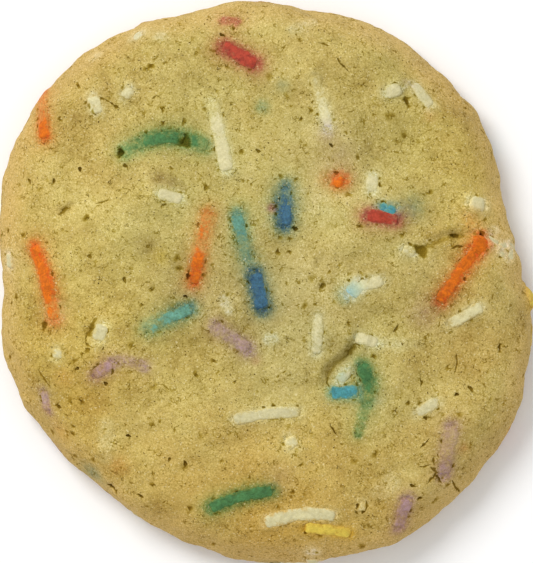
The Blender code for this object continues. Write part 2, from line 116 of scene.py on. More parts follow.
SWELL_PLAY = (0.7, 1.3)  # of each wave's rate
STEEPEST = 0.999  # share of the roll beyond which a place seen from above is on the wall

# Sprinkles in the top: x, y, heading, length, width, rise at the start and at the end, and how far
# the middle is bent sideways, if it is
TOP_SPRINKLES = {
    "Orange": (
        (-28.3, 21.2, -86, 6.7, 1.5, 0.15, 0.3), (-28.2, -0.3, -75, 10.5, 1.7, 0.35, 0.2, 0.4),
        (-8.3, 4.1, -102, 9.8, 1.6, 0.12, 0.3), (25.0, 1.3, -125, 10.5, 1.65, 0.4, 0.25),
        (27.1, 4.4, -125, 3.0, 2.2, 0.48, 0.3), (8.8, 12.8, -7, 3.0, 1.7, -0.3, 0.4),
    ),
    "Red": (
        (-3.4, 28.7, -29, 5.7, 1.8, 0.2, 0.35), (14.7, 8.0, -8, 4.6, 1.6, 0.3, 0.3),
    ),
    "Green": (
        (-12.8, 16.8, 4, 11.4, 1.6, 0.15, 0.2, 1.4), (-3.1, -27.8, 16, 8.9, 1.5, 0.3, 0.3, 0.3),
        (12.6, -13.0, -78, 5.4, 1.6, 0.45, 0.12, 0.4),
    ),
    "Teal": (
        (-3.1, 5.7, -77, 6.4, 1.6, 0.25, 0.0), (-12.3, -4.8, 27, 7.0, 1.7, 0.12, 0.3),
    ),
    "Blue": (
        (2.4, 10.6, -98, 3.2, 1.2, 0.12, 0.2), (2.3, 8.5, -88, 3.8, 2.0, 0.2, 0.22),
        (-1.0, -1.3, -76, 5.6, 1.9, 0.25, 0.25),
    ),
    "Sky": (
        (10.1, -14.2, 2, 4.0, 1.7, 0.45, 0.4), (15.4, 9.15, -9, 2.7, 1.3, 0.12, 0.18),
    ),
    "Lilac": (
        (-20.8, -11.3, 38, 3.3, 1.5, 0.3, 0.25), (17.4, -29.5, -107, 4.7, 1.7, 0.25, 0.2),
        (-28.2, -15.4, -78, 3.2, 1.4, 0.15, 0.15), (-4.3, -7.3, -35, 6.0, 1.7, 0.12, 0.2),
        (23.1, -21.6, -99, 7.2, 2.0, 0.15, 0.15),
    ),
    "Yellow": ((7.9, -31.9, -9, 6.6, 1.5, 0.4, 0.3),),
    "Cream": (
        (-5.9, 18.3, -78, 9.6, 1.8, 0.2, 0.4), (7.1, 22.8, -76, 7.5, 1.5, 0.25, 0.15),
        (-12.2, 10.7, -15, 3.6, 1.4, 0.4, 0.3), (-21.8, 22.4, -76, 3.0, 1.8, 0.35, 0.3),
        (-17.6, 23.9, 52, 2.2, 1.5, 0.2, 0.15), (16.2, 24.2, 15, 2.8, 1.7, 0.3, 0.3),
        (19.9, 23.6, -50, 4.2, 1.5, 0.4, 0.12), (13.5, 12.3, -94, 2.8, 1.5, 0.2, 0.15),
        (26.9, 9.8, -15, 2.6, 1.8, 0.4, 0.35), (28.9, 5.0, -28, 2.2, 1.0, 0.12, 0.2),
        (30.2, 4.3, 15, 1.6, 1.1, 0.3, 0.3), (31.2, 4.3, -50, 1.4, 0.9, 0.35, 0.3),
        (31.0, 3.3, 80, 1.7, 1.1, 0.3, 0.35), (30.0, 3.3, -35, 1.3, 0.9, 0.25, 0.25),
        (11.3, -1.0, 52, 2.9, 2.1, 0.3, 0.32), (13.4, -0.3, 16, 3.8, 1.6, 0.32, 0.2),
        (6.5, -6.8, -93, 5.5, 1.4, 0.25, 0.25), (12.8, -7.6, -18, 3.3, 1.4, 0.35, 0.3),
        (9.8, -12.0, 52, 2.6, 1.5, 0.35, 0.12), (25.3, -4.4, 29, 5.3, 1.5, 0.2, 0.2),
        (-21.1, -6.6, -106, 2.9, 1.6, 0.35, 0.25), (-26.6, -9.3, -90, 1.9, 1.4, 0.25, 0.2),
        (0.1, -17.2, 6, 9.1, 1.4, 0.35, 0.35, 0.3), (3.2, -20.7, -56, 2.2, 1.7, 0.25, 0.2),
        (4.3, -30.3, 6, 9.7, 1.7, 0.4, 0.4, 0.5), (20.5, -16.1, 27, 3.6, 1.4, 0.3, 0.25),
        (18.2, 3.8, -20, 2.2, 1.4, 0.3, 0.1), (12.2, -28.9, 75, 1.7, 1.1, 0.2, 0.12),
        (-16.4, 31.3, 25, 1.9, 1.4, 0.22, 0.2),
    ),
}

# Sprinkles in the wall: direction, drop (0 at the shoulder, 1 at the waist), slant (0 upright,
# 90 along the rim), length, width, rise
RIM_SPRINKLES = {
    "Yellow": ((-3.6, 0.82, 80, 3.0, 1.6, 0.55),),
    "Cream": ((175.5, 0.6, 85, 2.4, 1.3, 0.3), (-80.5, 0.8, 85, 2.2, 1.3, 0.3)),
}
WALL_COLOURS = (
    "Cream", "Teal", "Cream", "Red", "Cream", "Orange", "Green",
    "Cream", "Lilac", "Cream", "Blue", "Cream", "Orange", "Yellow",
)  # one sprinkle in each sector, anticlockwise from +X
WALL_SEED = 7
WALL_PLAY = 0.3
WALL_SLANTS = (60, 120)
WALL_LIMITS = ((1.09, 1.15), (2.4, 4.2), (1.4, 1.7), (0.12, 0.18))  # drop, length, width, rise
LOWEST_DROP = 1.20
WALL_SOAK = 0.35  # of the usual bleeding
SPRINKLE_FLATNESS = 0.8
TIP_REACH = 0.45  # of the half width, past the end of the rod's core

# Sprinkles just under the surface: x, y, heading, length, width, strength of colour, and the bend
SUNK_SPRINKLES = {
    "Red": ((-4.6, 33.0, -7, 2.8, 1.5, 0.55),),
    "Green": ((12.2, -17.5, -105, 4.9, 1.3, 0.35),),
    "Lilac": ((-17.4, -10.7, -13, 5.4, 1.4, 0.6, 0.4),),
    "Cream": (
        (-21.7, 28.6, 40, 1.9, 1.3, 0.5), (-13.5, 31.0, 0, 1.6, 1.4, 0.35),
        (16.9, -8.0, 0, 6.4, 1.2, 0.3), (-5.1, -3.1, -66, 2.9, 1.3, 0.7),
        (0.6, -7.4, 0, 2.0, 1.5, 0.65), (6.0, -34.7, 0, 1.8, 1.0, 0.85),
        (4.5, 32.1, 15, 4.1, 1.3, 0.45), (29.0, 6.4, -6, 1.9, 1.3, 0.6),
        (-20.4, -20.4, -92, 6.0, 2.0, 0.42), (15.2, -26.3, 42, 4.4, 2.4, 0.48),
    ),
}

# Colour that has bled into the dough away from a sprinkle, browner toasted spots, and painted shade (the
# Shade entries) in a dent, a groove and beside the fold: x, y, radius, dye, strength
STAINS_AND_SHADE = (
    (7.8, 18.9, 1.1, "Lilac", 0.45), (20.1, -4.4, 2.0, "Lilac", 0.35), (1.8, -25.1, 1.8, "Lilac", 0.18),
    (15.0, -26.5, 1.8, "Yellow", 0.2), (-0.5, 22.1, 0.9, "Teal", 0.4), (9.3, 16.0, 2.4, "Lilac", 0.16),
    (18.6, 9.2, 1.6, "Blue", 0.28), (10.0, -1.7, 1.2, "Sky", 0.34), (10.2, -2.4, 0.6, "Teal", 0.35),
    (9.6, -12.3, 0.9, "Sky", 0.15), (-28.2, -15.0, 1.1, "Cream", 0.55), (5.9, -34.6, 1.0, "Cream", 0.95),
    (-16.4, 31.4, 1.5, "Cream", 0.15), (-13.6, 31.1, 1.0, "Cream", 0.6), (-22.1, 28.9, 1.0, "Cream", 0.5),
    (4.5, 32.1, 1.4, "Cream", 0.3), (16.8, -7.9, 1.2, "Cream", 0.3), (-20.5, -20.3, 1.6, "Cream", 0.25),
    (0.5, -7.4, 0.9, "Cream", 0.35), (11.2, -1.3, 1.2, "Sky", 0.2), (0.8, 9.2, 0.5, "Red", 0.7),
    (2.1, 24.8, 0.8, "Blue", 0.16), (-22.3, -24.7, 1.6, "Blue", 0.3), (-1.3, -10.1, 0.6, "Red", 0.2),
    # The Shade entries are painted shade: in the dent at (-15.0, 4.3), along the groove above the short
    # cream sprinkle, and beside the fold
    (-13.4, 3.0, 0.9, "Yellow", 0.35), (-15.0, 4.3, 1.3, "Shade", 0.5), (-13.6, 13.0, 0.9, "Shade", 0.8),
    (-12.0, 12.5, 0.8, "Shade", 0.7), (-10.6, 11.7, 0.6, "Shade", 0.45), (9.2, -8.6, 1.4, "Shade", 0.2),
    (14.6, -15.3, 0.9, "Cream", 0.35), (11.7, -19.7, 0.4, "Green", 0.7),
    (-15.4, -10.7, 0.7, "Lilac", 0.5), (-26.9, -3.9, 1.2, "Cream", 0.35),
    (18.0, 25.1, 0.7, "Lilac", 0.45), (20.9, 21.1, 0.9, "Toast", 0.4), (26.2, 7.8, 1.5, "Toast", 0.5),
    (25.2, -21.4, 0.8, "Toast", 0.4), (-18.7, -23.7, 1.4, "Toast", 0.45),
    (-26.4, -19.2, 1.4, "Toast", 0.2), (-26.0, -12.3, 1.2, "Toast", 0.3),
)

# Where more dough covers the sprinkles: x, y, radius, thickness as a share of BARE_HEIGHT
COVERS = (
    (-7.2, 22.4, 2.8, 1.05), (-7.2, 7.8, 2.6, 0.8), (3.2, -20.7, 1.8, 0.5), (12.2, -28.9, 1.4, 0.85),
    (18.2, 3.8, 1.0, 0.8), (6.8, 24.6, 2.6, 0.8), (-28.2, -15.4, 2.0, 0.35), (6.7, -5.6, 2.4, 0.8),
    (6.0, 26.4, 3.0, 0.9), (-27.0, -3.8, 1.6, 0.8), (-28.5, 22.2, 2.3, 1.1), (-8.2, 4.5, 2.2, 0.75),
    (2.9, 11.3, 1.0, 0.7), (-4.8, -6.9, 2.6, 0.62), (-14.8, -5.9, 2.3, 0.9), (-2.9, 4.0, 1.5, 0.8),
    (-17.6, 16.6, 2.6, 0.85), (-7.7, 17.1, 1.7, 0.8), (-10.4, 17.9, 0.7, 1.1), (12.9, -14.8, 1.9, 0.85),
    (23.3, -20.8, 3.2, 0.95), (15.4, 0.3, 1.0, 0.4), (17.0, -31.0, 1.3, 0.4), (4.6, -16.9, 1.6, 0.6),
    (23.4, -5.4, 1.6, 0.5),
)

# Pores and short cracks that stand out: x, y, half length, half width, heading, depth, darkness, which is
# partly browner dough and partly painted shade
CLEAR_PORES = (
    (19.8, 3.8, 0.9, 0.6, -60, 0.2, 0.72), (7.2, -0.7, 0.46, 0.3, 35, 0.15, 0.5),
    (-10.32, 17.72, 0.95, 0.72, -80, 0.34, 0.64), (-18.5, 16.3, 0.58, 0.38, -75, 0.3, 0.8),
    (-17.9, 14.6, 0.28, 0.22, 0, 0.2, 0.6), (-19.8, -26.5, 0.65, 0.3, -20, 0.35, 0.9),
    (-15.9, -27.4, 0.35, 0.2, -40, 0.25, 0.8), (-17.6, -19.8, 0.28, 0.16, 0, 0.25, 1.0),
    (-10.3, -23.4, 0.45, 0.22, -75, 0.25, 0.8), (-12.3, -22.8, 0.25, 0.18, 60, 0.2, 0.6),
    (-20.4, -13.1, 0.3, 0.18, -30, 0.2, 0.75), (-23.7, 14.2, 0.28, 0.22, -50, 0.25, 0.9),
    (-27.1, 12.7, 0.28, 0.2, 80, 0.2, 0.7), (-30.5, 12.8, 0.35, 0.2, -50, 0.2, 0.6),
    (-24.0, -11.2, 0.25, 0.2, 10, 0.2, 0.75), (24.2, 5.75, 0.48, 0.24, -15, 0.25, 0.75),
    (27.5, 5.8, 0.3, 0.25, 0, 0.25, 0.7), (18.6, -26.1, 0.3, 0.2, -20, 0.2, 0.85),
    (19.5, -27.6, 0.35, 0.18, -10, 0.2, 0.75), (24.3, -14.5, 0.28, 0.18, -10, 0.25, 1.0),
    (26.1, -13.8, 0.45, 0.2, -60, 0.2, 0.7), (30.0, -8.5, 0.5, 0.16, 85, 0.2, 0.7),
    (17.9, 22.9, 0.6, 0.3, -70, 0.3, 0.75), (-5.6, 31.3, 0.3, 0.2, -20, 0.25, 0.8),
    (-1.0, 16.5, 0.3, 0.22, -40, 0.2, 0.6), (3.7, 6.6, 0.32, 0.28, -40, 0.3, 0.95),
    (-9.9, 0.6, 0.32, 0.25, 60, 0.25, 0.8), (-10.2, -2.0, 0.28, 0.14, -35, 0.2, 0.95),
    (8.3, 17.2, 0.3, 0.14, -60, 0.2, 0.9), (-26.5, -16.1, 0.35, 0.2, -40, 0.2, 0.7),
    (-28.2, -5.7, 0.48, 0.32, 60, 0.2, 0.6), (27.5, 6.0, 0.4, 0.3, -30, 0.2, 0.6),
    (-22.3, 3.1, 0.3, 0.24, 20, 0.15, 0.5), (-19.5, -11.6, 0.3, 0.16, 80, 0.15, 0.6),
    (-18.0, 0.1, 0.34, 0.22, -70, 0.15, 0.6), (20.3, -17.5, 0.28, 0.2, -60, 0.15, 0.85),
    (11.7, -28.7, 0.28, 0.2, 60, 0.15, 0.8), (12.4, -29.5, 0.26, 0.2, -30, 0.15, 0.8),
    (-12.9, 9.6, 0.3, 0.12, 10, 0.15, 0.6),
)
# Cracks: half width, darkness (partly browner dough, partly painted shade), and the places along each
CRACKS = (
    (0.1, 0.5, ((-21.1, 23.3), (-20.4, 23.0), (-19.7, 22.6))),
    (0.16, 0.75, ((-19.7, 22.6), (-19.2, 22.2), (-18.8, 22.0))),
    (0.12, 0.6, ((-22.7, 22.5), (-22.3, 21.8), (-21.7, 21.1))),
    (0.12, 0.55, ((-14.3, 23.2), (-13.9, 23.5), (-13.5, 23.3))),
    (0.22, 0.5, ((-26.4, 8.4), (-25.8, 9.0), (-25.2, 9.2))),
    (0.12, 0.5, ((-21.4, 9.8), (-20.8, 9.9), (-20.1, 10.2))),
    (0.11, 0.55, ((9.1, 28.3), (9.5, 27.6), (10.1, 27.1), (10.4, 26.7))),
    (0.1, 0.5, ((6.9, 30.2), (7.5, 30.1), (7.9, 29.9))),
    (0.13, 0.65, ((23.8, 4.1), (24.4, 4.4), (25.1, 4.3))),
    (0.14, 0.35, ((20.2, 4.2), (21.0, 4.4), (21.6, 4.1))), (0.14, 0.6, ((21.3, -22.6), (21.4, -23.3))),
    (0.17, 0.65, ((21.0, -23.8), (21.5, -24.2), (21.9, -24.5))),
    (0.15, 0.7, ((21.6, -24.5), (21.3, -25.1), (20.7, -25.6))),
    (0.16, 0.75, ((21.6, -24.8), (22.0, -25.2), (22.3, -25.7))),
    (0.14, 0.7, ((23.7, -25.5), (24.0, -26.2), (24.6, -26.9))),
    (0.13, 0.75, ((19.7, -21.2), (20.2, -20.8), (20.6, -20.3))),
    (0.1, 0.5, ((19.6, -23.7), (20.2, -23.7), (20.8, -23.5))),
    (0.14, 0.45, ((-28.9, -11.6), (-28.3, -12.5), (-27.6, -13.5))),
    (0.12, 0.7, ((8.2, -18.5), (8.6, -19.0), (8.9, -19.5))),
    (0.11, 0.7, ((16.2, -6.5), (16.6, -6.1), (16.8, -5.7))),
    (0.12, 0.7, ((19.6, -12.5), (19.8, -13.0), (19.7, -13.3))),
    (0.3, 0.42, ((11.3, -8.1), (10.9, -9.0), (10.3, -9.6))),
    (0.24, 0.2, ((10.4, -9.6), (9.6, -10.2), (8.7, -10.9), (8.1, -11.7), (7.9, -12.6))),
    (0.1, 0.45, ((7.9, -12.4), (7.8, -13.0), (8.1, -13.6))), (0.14, 0.35, ((-8.6, 13.6), (-8.1, 13.2))),
    (0.3, 0.5, ((-21.6, -4.9), (-22.1, -5.7), (-22.5, -6.5), (-22.9, -7.2))),
    (0.1, 0.4, ((-22.9, -7.2), (-23.0, -7.9), (-22.6, -8.3), (-22.1, -8.5))),
    (0.12, 0.6, ((12.8, -28.2), (12.9, -28.8), (12.7, -29.3))),
    (0.14, 0.7, ((11.4, -29.4), (11.7, -29.8))),
    (0.1, 0.45, ((24.3, -9.4), (24.4, -10.4), (24.2, -11.5))),
    (0.3, 0.24, ((20.4, 4.4), (22.0, 5.0), (23.8, 5.6), (25.4, 5.7))),
)
CRACK_DEPTH = 0.12
CRACK_RAGS = (0.35, 0.7, 61)  # a swell of its width: height, wavelength, seed
LEAST_WIDTH = 0.3  # that the swell leaves
CRACK_TIP = 0.35  # width at a crack's ends, as a share of its middle's
CRACK_ROWS = (-2.2, -1.15, -0.6, 0.0, 0.6, 1.15, 2.2)
CRACK_STEP = 0.16

# Scattered pores: how many, radii, greatest stretch, depths, darknesses (partly browner dough, partly
# painted shade), points in each ring
PORE_KINDS = (
    (14, (0.1, 0.18), 9.0, (0.04, 0.09), (0.25, 0.7), 7),
    (150, (0.06, 0.1), 7.0, (0.02, 0.05), (0.3, 0.9), 6),
)
PORE_SEED = 21
PORE_CHANCE = (0.5, 0.35)  # that a place gets its pore: as a rule, and how far the patches change it
PORE_PATCHES = (1.0, 9.0, 12)  # a swell that gathers the pores: height, wavelength, seed
PORE_MARGIN = 1.6
PORE_LOBES = (0.18, 0.2)  # unevenness of a pore's edge: two-sided, three-sided
PORE_RINGS = (0.5, 0.85, 1.2)
CLEAR_PORE_CORNERS = 9
FEWEST_CORNERS = 6  # a pore with no more than these has one ring less
# Where a pore's bowl and its shadow start and end, in shares of the way to its edge
PORE_BOWL = (0.4, 1.15)
PORE_SHADOW = (0.8, 1.2)
CRACK_BOWL = (0.3, 1.15)
CRACK_SHADOW = (0.6, 1.15)
# Gaps along the rods: how many per millimetre, then the least and most of their half length, half
# width, distance from the rod, turn from its heading, and darkness, partly browner dough and partly
# painted shade
EDGE_PORE_SHARE = 0.32
EDGE_PORE_LIMITS = ((0.1, 0.28), (0.05, 0.09), (-0.05, 0.22), (-25, 25), (0.3, 0.9))
EDGE_PORE_SEED = 22

# Fine relief and the mesh
CRUMB_SWELLS = ((0.031, 2.1, 31), (0.017, 1.1, 32), (0.012, 0.75, 33))
GRID_STEP = 0.45
GRID_PLAY = 0.14  # of the step
GRID_MARGIN = 0.7  # between the grid and the sheet's edge, in steps
SHEET_REACH = 60
RING_STEP = 0.6
RING_MARGIN = 0.3
BASE_STEP = 0.75
BASE_REACH = 45
CREASE_STEP = 0.28
CREASE_ROWS = (-2.6, -2.0, -1.5, -1.1, -0.75, -0.45, -0.2, 0.0, 0.2, 0.45, 0.75, 1.1, 1.5, 2.0, 2.6)
OUTLINE_ROWS = (-0.28, -0.08, 0.12, 0.34, 0.62)  # from a sprinkle's edge
OUTLINE_STEP = 0.22
STATION_STEP = 0.18
FINE_GAP = 0.05
MIDDLE_GAP = 0.15
KEEP_APART = 0.62  # of the step
CUT_TOLERANCE = 1e-6
LEAST_WEIGHT = 1e-6  # keeps the colour defined where there is no dye
# How far round a pore, crack, stain, rod or sunk sprinkle its mark is worked out: the first three in
# shares of its half length, half width and radius
PORE_SEARCH = 2.2
CRACK_SEARCH = 3
STAIN_SEARCH = 2.5
ROD_SEARCH = 4.0
SUNK_SEARCH = 3.0
PATH_LEGS = 8  # least straight legs of the path that distances are measured to
MENISCUS = (0.5, 0.6)  # the dough drawn up at a sprinkle: share of its rise, and reach
DIP = (0.16, 0.4)  # the dough under a sprinkle that stands out: depth, and how far in it is whole
STANDING = (0.0, 0.2)  # rises between which the dip grows
SUNK_RISE = 0.07
SUNK_BLUR = 0.45
FOOT_FADE = (0.0, 1.2)  # heights between which the fine relief grows

# The underside
BASE_SEED = 5
BASE_RELIEF = (0.05, 2.6, 41)
BASE_FADE = (0.5, 2.5)  # distances from its edge between which its relief grows
BASE_MARGIN = 3.025  # between its edge and the middles of its sprinkles and pores
BASE_GAP = 0.2
BASE_PORE_GAP = 0.08
BASE_SPRINKLES = 26
BASE_STATIONS = 12
BASE_SPRINKLE_LIMITS = ((1.5, 7.0), (1.3, 1.6), (0.6, 1.0))  # core, width, strength of colour
BASE_PORES = 220
# Least radius, the most that is added to it, most stretch, depth, darkness (partly browner dough, partly
# painted shade)
BASE_PORE_LIMITS = (0.12, 0.22, 2, 0.12, (0.3, 0.8))

# Rods
ROD_SIDES = 26
SECTION_STEPS = 720
ROD_FULLNESS = 1.16  # how much wider than stated, as the dough hides the widest part
ROD_SQUARENESS = 0.55
TIP_STEPS = (0.0, 0.3, 0.55, 0.75, 0.9, 1.0)
TIP_POWER = 2.6
TIP_START = 0.5  # before the end of the core, in half widths
TIP_END = 0.3  # size of its flat end, as a share of the rod's
# Waves of its thickness: how many, each one's share of it, wavelength, and how far that varies
ROD_WAVES = (3, 0.028125, 3.0, (0.6, 1.8))
ROD_GRAIN = (0.008, 0.9)  # height, wavelength
GRAIN_SEED = 500
SHADE_SEED = 900
# Where no film of dough is left on a rod: this high above the dough, and this far in from its side
BARE_HEIGHT = 0.11
BARE_INSET = 0.45
COVER_FADE = 0.5  # of the colour, where the most dough covers a rod

# Broad areas of the dough, and one spot of painted shade: x, y, radius, how pale (or dark), toasted (or
# greenish), golden (or grey)
TINTS_AND_SHADE = (
    (-20.0, 0.0, 16.0, 0.04, 0.3, 0.15), (0.0, 4.0, 20.0, 0.0, -0.65, 0.0),
    (3.0, -31.0, 14.0, 0.0, 0.75, 0.25), (24.0, -16.0, 12.0, 0.0, 0.15, 0.0),
    (-25.0, -12.8, 13.0, -0.05, 0.25, 0.5), (-11.0, -1.2, 4.5, -0.28, 0.0, -0.25),
    (-9.0, 1.0, 7.0, 0.0, 0.0, -0.25), (-20.0, 9.5, 5.5, 0.13, 0.0, 0.0), (14.6, 8.5, 5.0, 0.1, 0.0, 0.0),
    (8.2, 16.5, 6.0, 0.0, 0.0, -0.3), (21.0, 0.5, 4.0, -0.16, 0.0, -0.2),
    (4.4, -15.5, 8.0, 0.1, 0.0, 0.1), (21.5, -12.5, 4.0, 0.12, 0.0, 0.1),
    (-23.9, 25.7, 5.0, -0.13, 0.1, 0.0), (8.2, 6.5, 8.0, 0.19, 0.0, 0.0),
    (28.0, 12.0, 8.0, 0.16, 0.1, 0.5), (13.5, -15.0, 9.0, 0.0, -0.4, 0.0),
    (1.8, -33.0, 6.0, -0.36, 0.35, 0.2), (2.5, -3.5, 9.0, 0.0, -0.35, -0.5),
    # The darker spot at (17.2, -12.8) is painted shade beside the fold
    (17.2, -12.8, 3.5, -0.16, 0.0, 0.0), (-4.6, 16.7, 6.5, 0.09, 0.0, 0.0),
    (22.0, 22.0, 7.0, -0.19, 0.2, 0.15), (-17.4, -15.3, 6.0, -0.1, 0.0, -0.2),
    (-4.8, -5.8, 4.2, -0.17, 0.0, 0.0), (2.0, -29.5, 5.0, -0.1, 0.0, 0.0),
    (-17.7, 23.9, 3.0, -0.14, 0.0, 0.1), (14.7, 8.0, 3.0, 0.07, 0.0, 0.0),
)
TINTED_HEIGHTS = (1.5, 4.5)  # these areas fade away below
RIM_BAND = 4.5
BROWN_HEIGHTS = (0.3, 5.0)  # the wall's browner colour fades away above

# Colours as linear red, green and blue
SPRINKLE_COLOURS = {
    "Orange": (0.59, 0.132, 0.005),
    "Red": (0.35, 0.046, 0.023),
    "Green": (0.062, 0.168, 0.054),
    "Teal": (0.11, 0.26, 0.185),
    "Blue": (0.047, 0.125, 0.19),
    "Sky": (0.068, 0.27, 0.29),
    "Lilac": (0.4, 0.25, 0.268),
    "Yellow": (0.66, 0.49, 0.07),
    "Cream": (0.604, 0.546, 0.298),
}
# What each colour turns to where it has soaked into the dough; Toast is browner baked dough, and Shade is
# painted shade
DYES = {
    "Orange": (0.58, 0.145, 0.021),
    "Red": (0.34, 0.08, 0.04),
    "Green": (0.09, 0.175, 0.05),
    "Teal": (0.13, 0.235, 0.14),
    "Blue": (0.066, 0.125, 0.125),
    "Sky": (0.095, 0.262, 0.24),
    "Lilac": (0.355, 0.23, 0.19),
    "Yellow": (0.54, 0.35, 0.035),
    "Cream": (0.635, 0.576, 0.318),
    "Toast": (0.52, 0.245, 0.045),
    # Painted shade for a dent, a groove and the side of the fold
    "Shade": (0.265, 0.178, 0.042),
}
# How much dye there is at a sprinkle's edge: in a narrow band, and in a wide one
BLEED = {"Cream": (0.4, 0.05), "Yellow": (0.3, 0.05), "Sky": (0.26, 0.05)}
USUAL_BLEED = (0.44, 0.17)
BLEED_REACH = (0.46, 1.4)
COVERED_DYE = 0.42  # how much more there is under a rod
COVERED_EDGE = (-0.1, 0.4)  # distances in from the rod's edge between which it grows
LOW_RISES = (-0.35, 0.1)  # a rod that rises less has bled less, down to this share
LOW_DYE = 0.3
MOST_DYE = 0.95

Rod = namedtuple("Rod", "colour path rises width soak")
Sunk = namedtuple("Sunk", "colour path width strength")
Pore = namedtuple("Pore", "place long short heading depth darkness corners")


def unit(vectors):
    return vectors / np.linalg.norm(vectors, axis=-1, keepdims=True)


def polar(radius, angle):
    """Points at a distance and a direction from the middle."""
    return np.stack((radius * np.cos(angle), radius * np.sin(angle)), axis=-1)


def left_of(forward):
    """The direction to the left of each direction in plan."""
    return np.stack((-forward[..., 1], forward[..., 0]), axis=-1)


def heading_vectors(heading):
    """Forward and left, for a heading in degrees from +X."""
    forward = polar(1.0, math.radians(heading))
    return forward, left_of(forward)


def eased(value, start, end):
    """0 before start, 1 after end, smooth between."""
    t = np.clip((value - start) / (end - start), 0, 1)
    return t * t * (3 - 2 * t)


def bell(gap, reach):
    """1 where there is no gap, falling smoothly to almost nothing at twice the reach."""
    return np.exp(-((gap / reach) ** 2))


def resampled(rows, places, stations):
    """Rows that belong to places along a line, read at other stations on it."""
    return np.stack([np.interp(stations, places, column) for column in rows.T], axis=-1)


# ---- the solid's form -------------------------------------------------------------------------


def rim_radius(angle):
    """Plan radius in each direction, by a closed Catmull-Rom curve through RIM_RADII."""
    knots = np.array(RIM_RADII)
    place = (angle / FULL_TURN * len(knots)) % len(knots)
    first = np.floor(place).astype(int)
    t = place - first
    before, start, end, after = (knots[(first + step) % len(knots)] for step in (-1, 0, 1, 2))
    cubic = 3 * (start - end) + after - before
    radius = start + t / 2 * (end - before + t * (2 * before - 5 * start + 4 * end - after + t * cubic))
    for direction, rise, half_width in RIM_BUMPS:
        turned = (np.degrees(angle) - direction + 180) % 360 - 180
        radius = radius + rise * bell(turned, half_width)
    return radius


def foot_radius(angle):
    """How far the flat underside reaches in each direction."""
    return rim_radius(angle) - BASE_INSET


def sheet_edge(angle):
    """The sheet's own radius, which is wrapped to the edge of the underside."""
    return rim_radius(angle) - ROLL_WIDTH + ROLL_RUN + TUCK_RUN


def wrapped(u, v):
    """The turned profile: where points of the flat sheet lie on the smooth dough."""
    run = np.hypot(u, v)
    angle = np.arctan2(v, u)
    rim = rim_radius(angle)
    shoulder = rim - ROLL_WIDTH
    roll = np.clip((run - shoulder) / ROLL_RUN, 0, 1) * QUARTER_TURN
    tuck = np.clip((run - shoulder - ROLL_RUN) / TUCK_RUN, 0, 1) * QUARTER_TURN
    reach = np.minimum(run, shoulder) + ROLL_WIDTH * np.sin(roll) - BASE_INSET * (1 - np.cos(tuck))
    crown = CENTRE_HEIGHT - SHOULDER_DROP * (reach / rim) ** 2
    height = WAIST_HEIGHT * (1 - np.sin(tuck)) + (crown - WAIST_HEIGHT) * np.cos(roll)
    return np.concatenate((polar(reach, angle), height[..., None]), axis=-1)


def sheet_place(x, y):
    """The sheet point that is wrapped to a place on the top, seen from above."""
    reach = np.hypot(x, y)
    angle = np.arctan2(y, x)
    shoulder = rim_radius(angle) - ROLL_WIDTH
    past = np.clip((reach - shoulder) / ROLL_WIDTH, 0, STEEPEST)
    run = np.where(past > 0, shoulder + ROLL_RUN * np.arcsin(past) / QUARTER_TURN, reach)
    return polar(run, angle)


def swell(points, height, wavelength, seed):
    """A smooth random field of the given height: plane waves in seeded directions."""
    draw = np.random.default_rng(seed)
    directions = unit(draw.normal(size=(SWELL_WAVES, 3)))
    rates = FULL_TURN / wavelength * draw.uniform(*SWELL_PLAY, SWELL_WAVES)
    phases = draw.uniform(0, FULL_TURN, SWELL_WAVES)
    summed = np.sin(points @ (directions * rates[:, None]).T + phases).sum(axis=-1)
    return height * math.sqrt(2 / SWELL_WAVES) * summed


def path_distance(x, y, path):
    """Distance of each point to an open path, and how far along the path it is, 0 to 1."""
    nearest = np.full(np.shape(x), np.inf)
    along = np.zeros(np.shape(x))
    legs = len(path) - 1
    for leg in range(legs):
        (x0, y0), (x1, y1) = path[leg], path[leg + 1]
        run = (x1 - x0) ** 2 + (y1 - y0) ** 2
        t = np.clip(((x - x0) * (x1 - x0) + (y - y0) * (y1 - y0)) / run, 0, 1)
        gap = np.hypot(x - x0 - t * (x1 - x0), y - y0 - t * (y1 - y0))
        along = np.where(gap < nearest, (leg + t) / legs, along)
        nearest = np.minimum(nearest, gap)
    return nearest, along


def crease_relief(x, y):
    """Folds and cracks: a valley that fades at its ends, between low lips."""
    relief = np.zeros(np.shape(x))
    for path, half_width, depth, lip in CREASES:
        gap, along = path_distance(x, y, path)
        fade = np.clip(CREASE_ENDS[1] * np.minimum(along, 1 - along) + CREASE_ENDS[0], 0, 1)
        lips = bell(gap / half_width - LIP_PLACE, 1)
        relief += fade * (lip * lips - depth * bell(gap, half_width))
    return relief


def bell_relief(x, y, bells):
    """Round swells or hollows, each a bell with its own place, radius and height."""
    relief = np.zeros(np.shape(x))
    for bell_x, bell_y, radius, height in bells:
        relief += height * bell(np.hypot(x - bell_x, y - bell_y), radius)
    return relief


def skin(sheet):
    """Points of the solid's dough surface and its smooth normals, for places on the sheet."""
    u, v = sheet.T
    smooth = wrapped(u, v)
    across = wrapped(u + SLOPE_STEP, v) - wrapped(u - SLOPE_STEP, v)
    along = wrapped(u, v + SLOPE_STEP) - wrapped(u, v - SLOPE_STEP)
    normals = unit(np.cross(across, along))
    x, y, height = smooth.T
    relief = swell(smooth, *BROAD_SWELL) + swell(smooth, *FINE_SWELL)
    relief += crease_relief(x, y) + bell_relief(x, y, LUMPS) - bell_relief(x, y, PITS)
    fade = np.clip(height / WAIST_HEIGHT, 0, 1)
    return smooth + normals * (relief * fade)[:, None], normals


# ---- where the sprinkles and pores lie --------------------------------------------------------


def shares_along(core):
    """Evenly spaced places along a rod's core, from 0 to 1."""
    return np.linspace(0, 1, max(3, math.ceil(core / STATION_STEP) + 1))


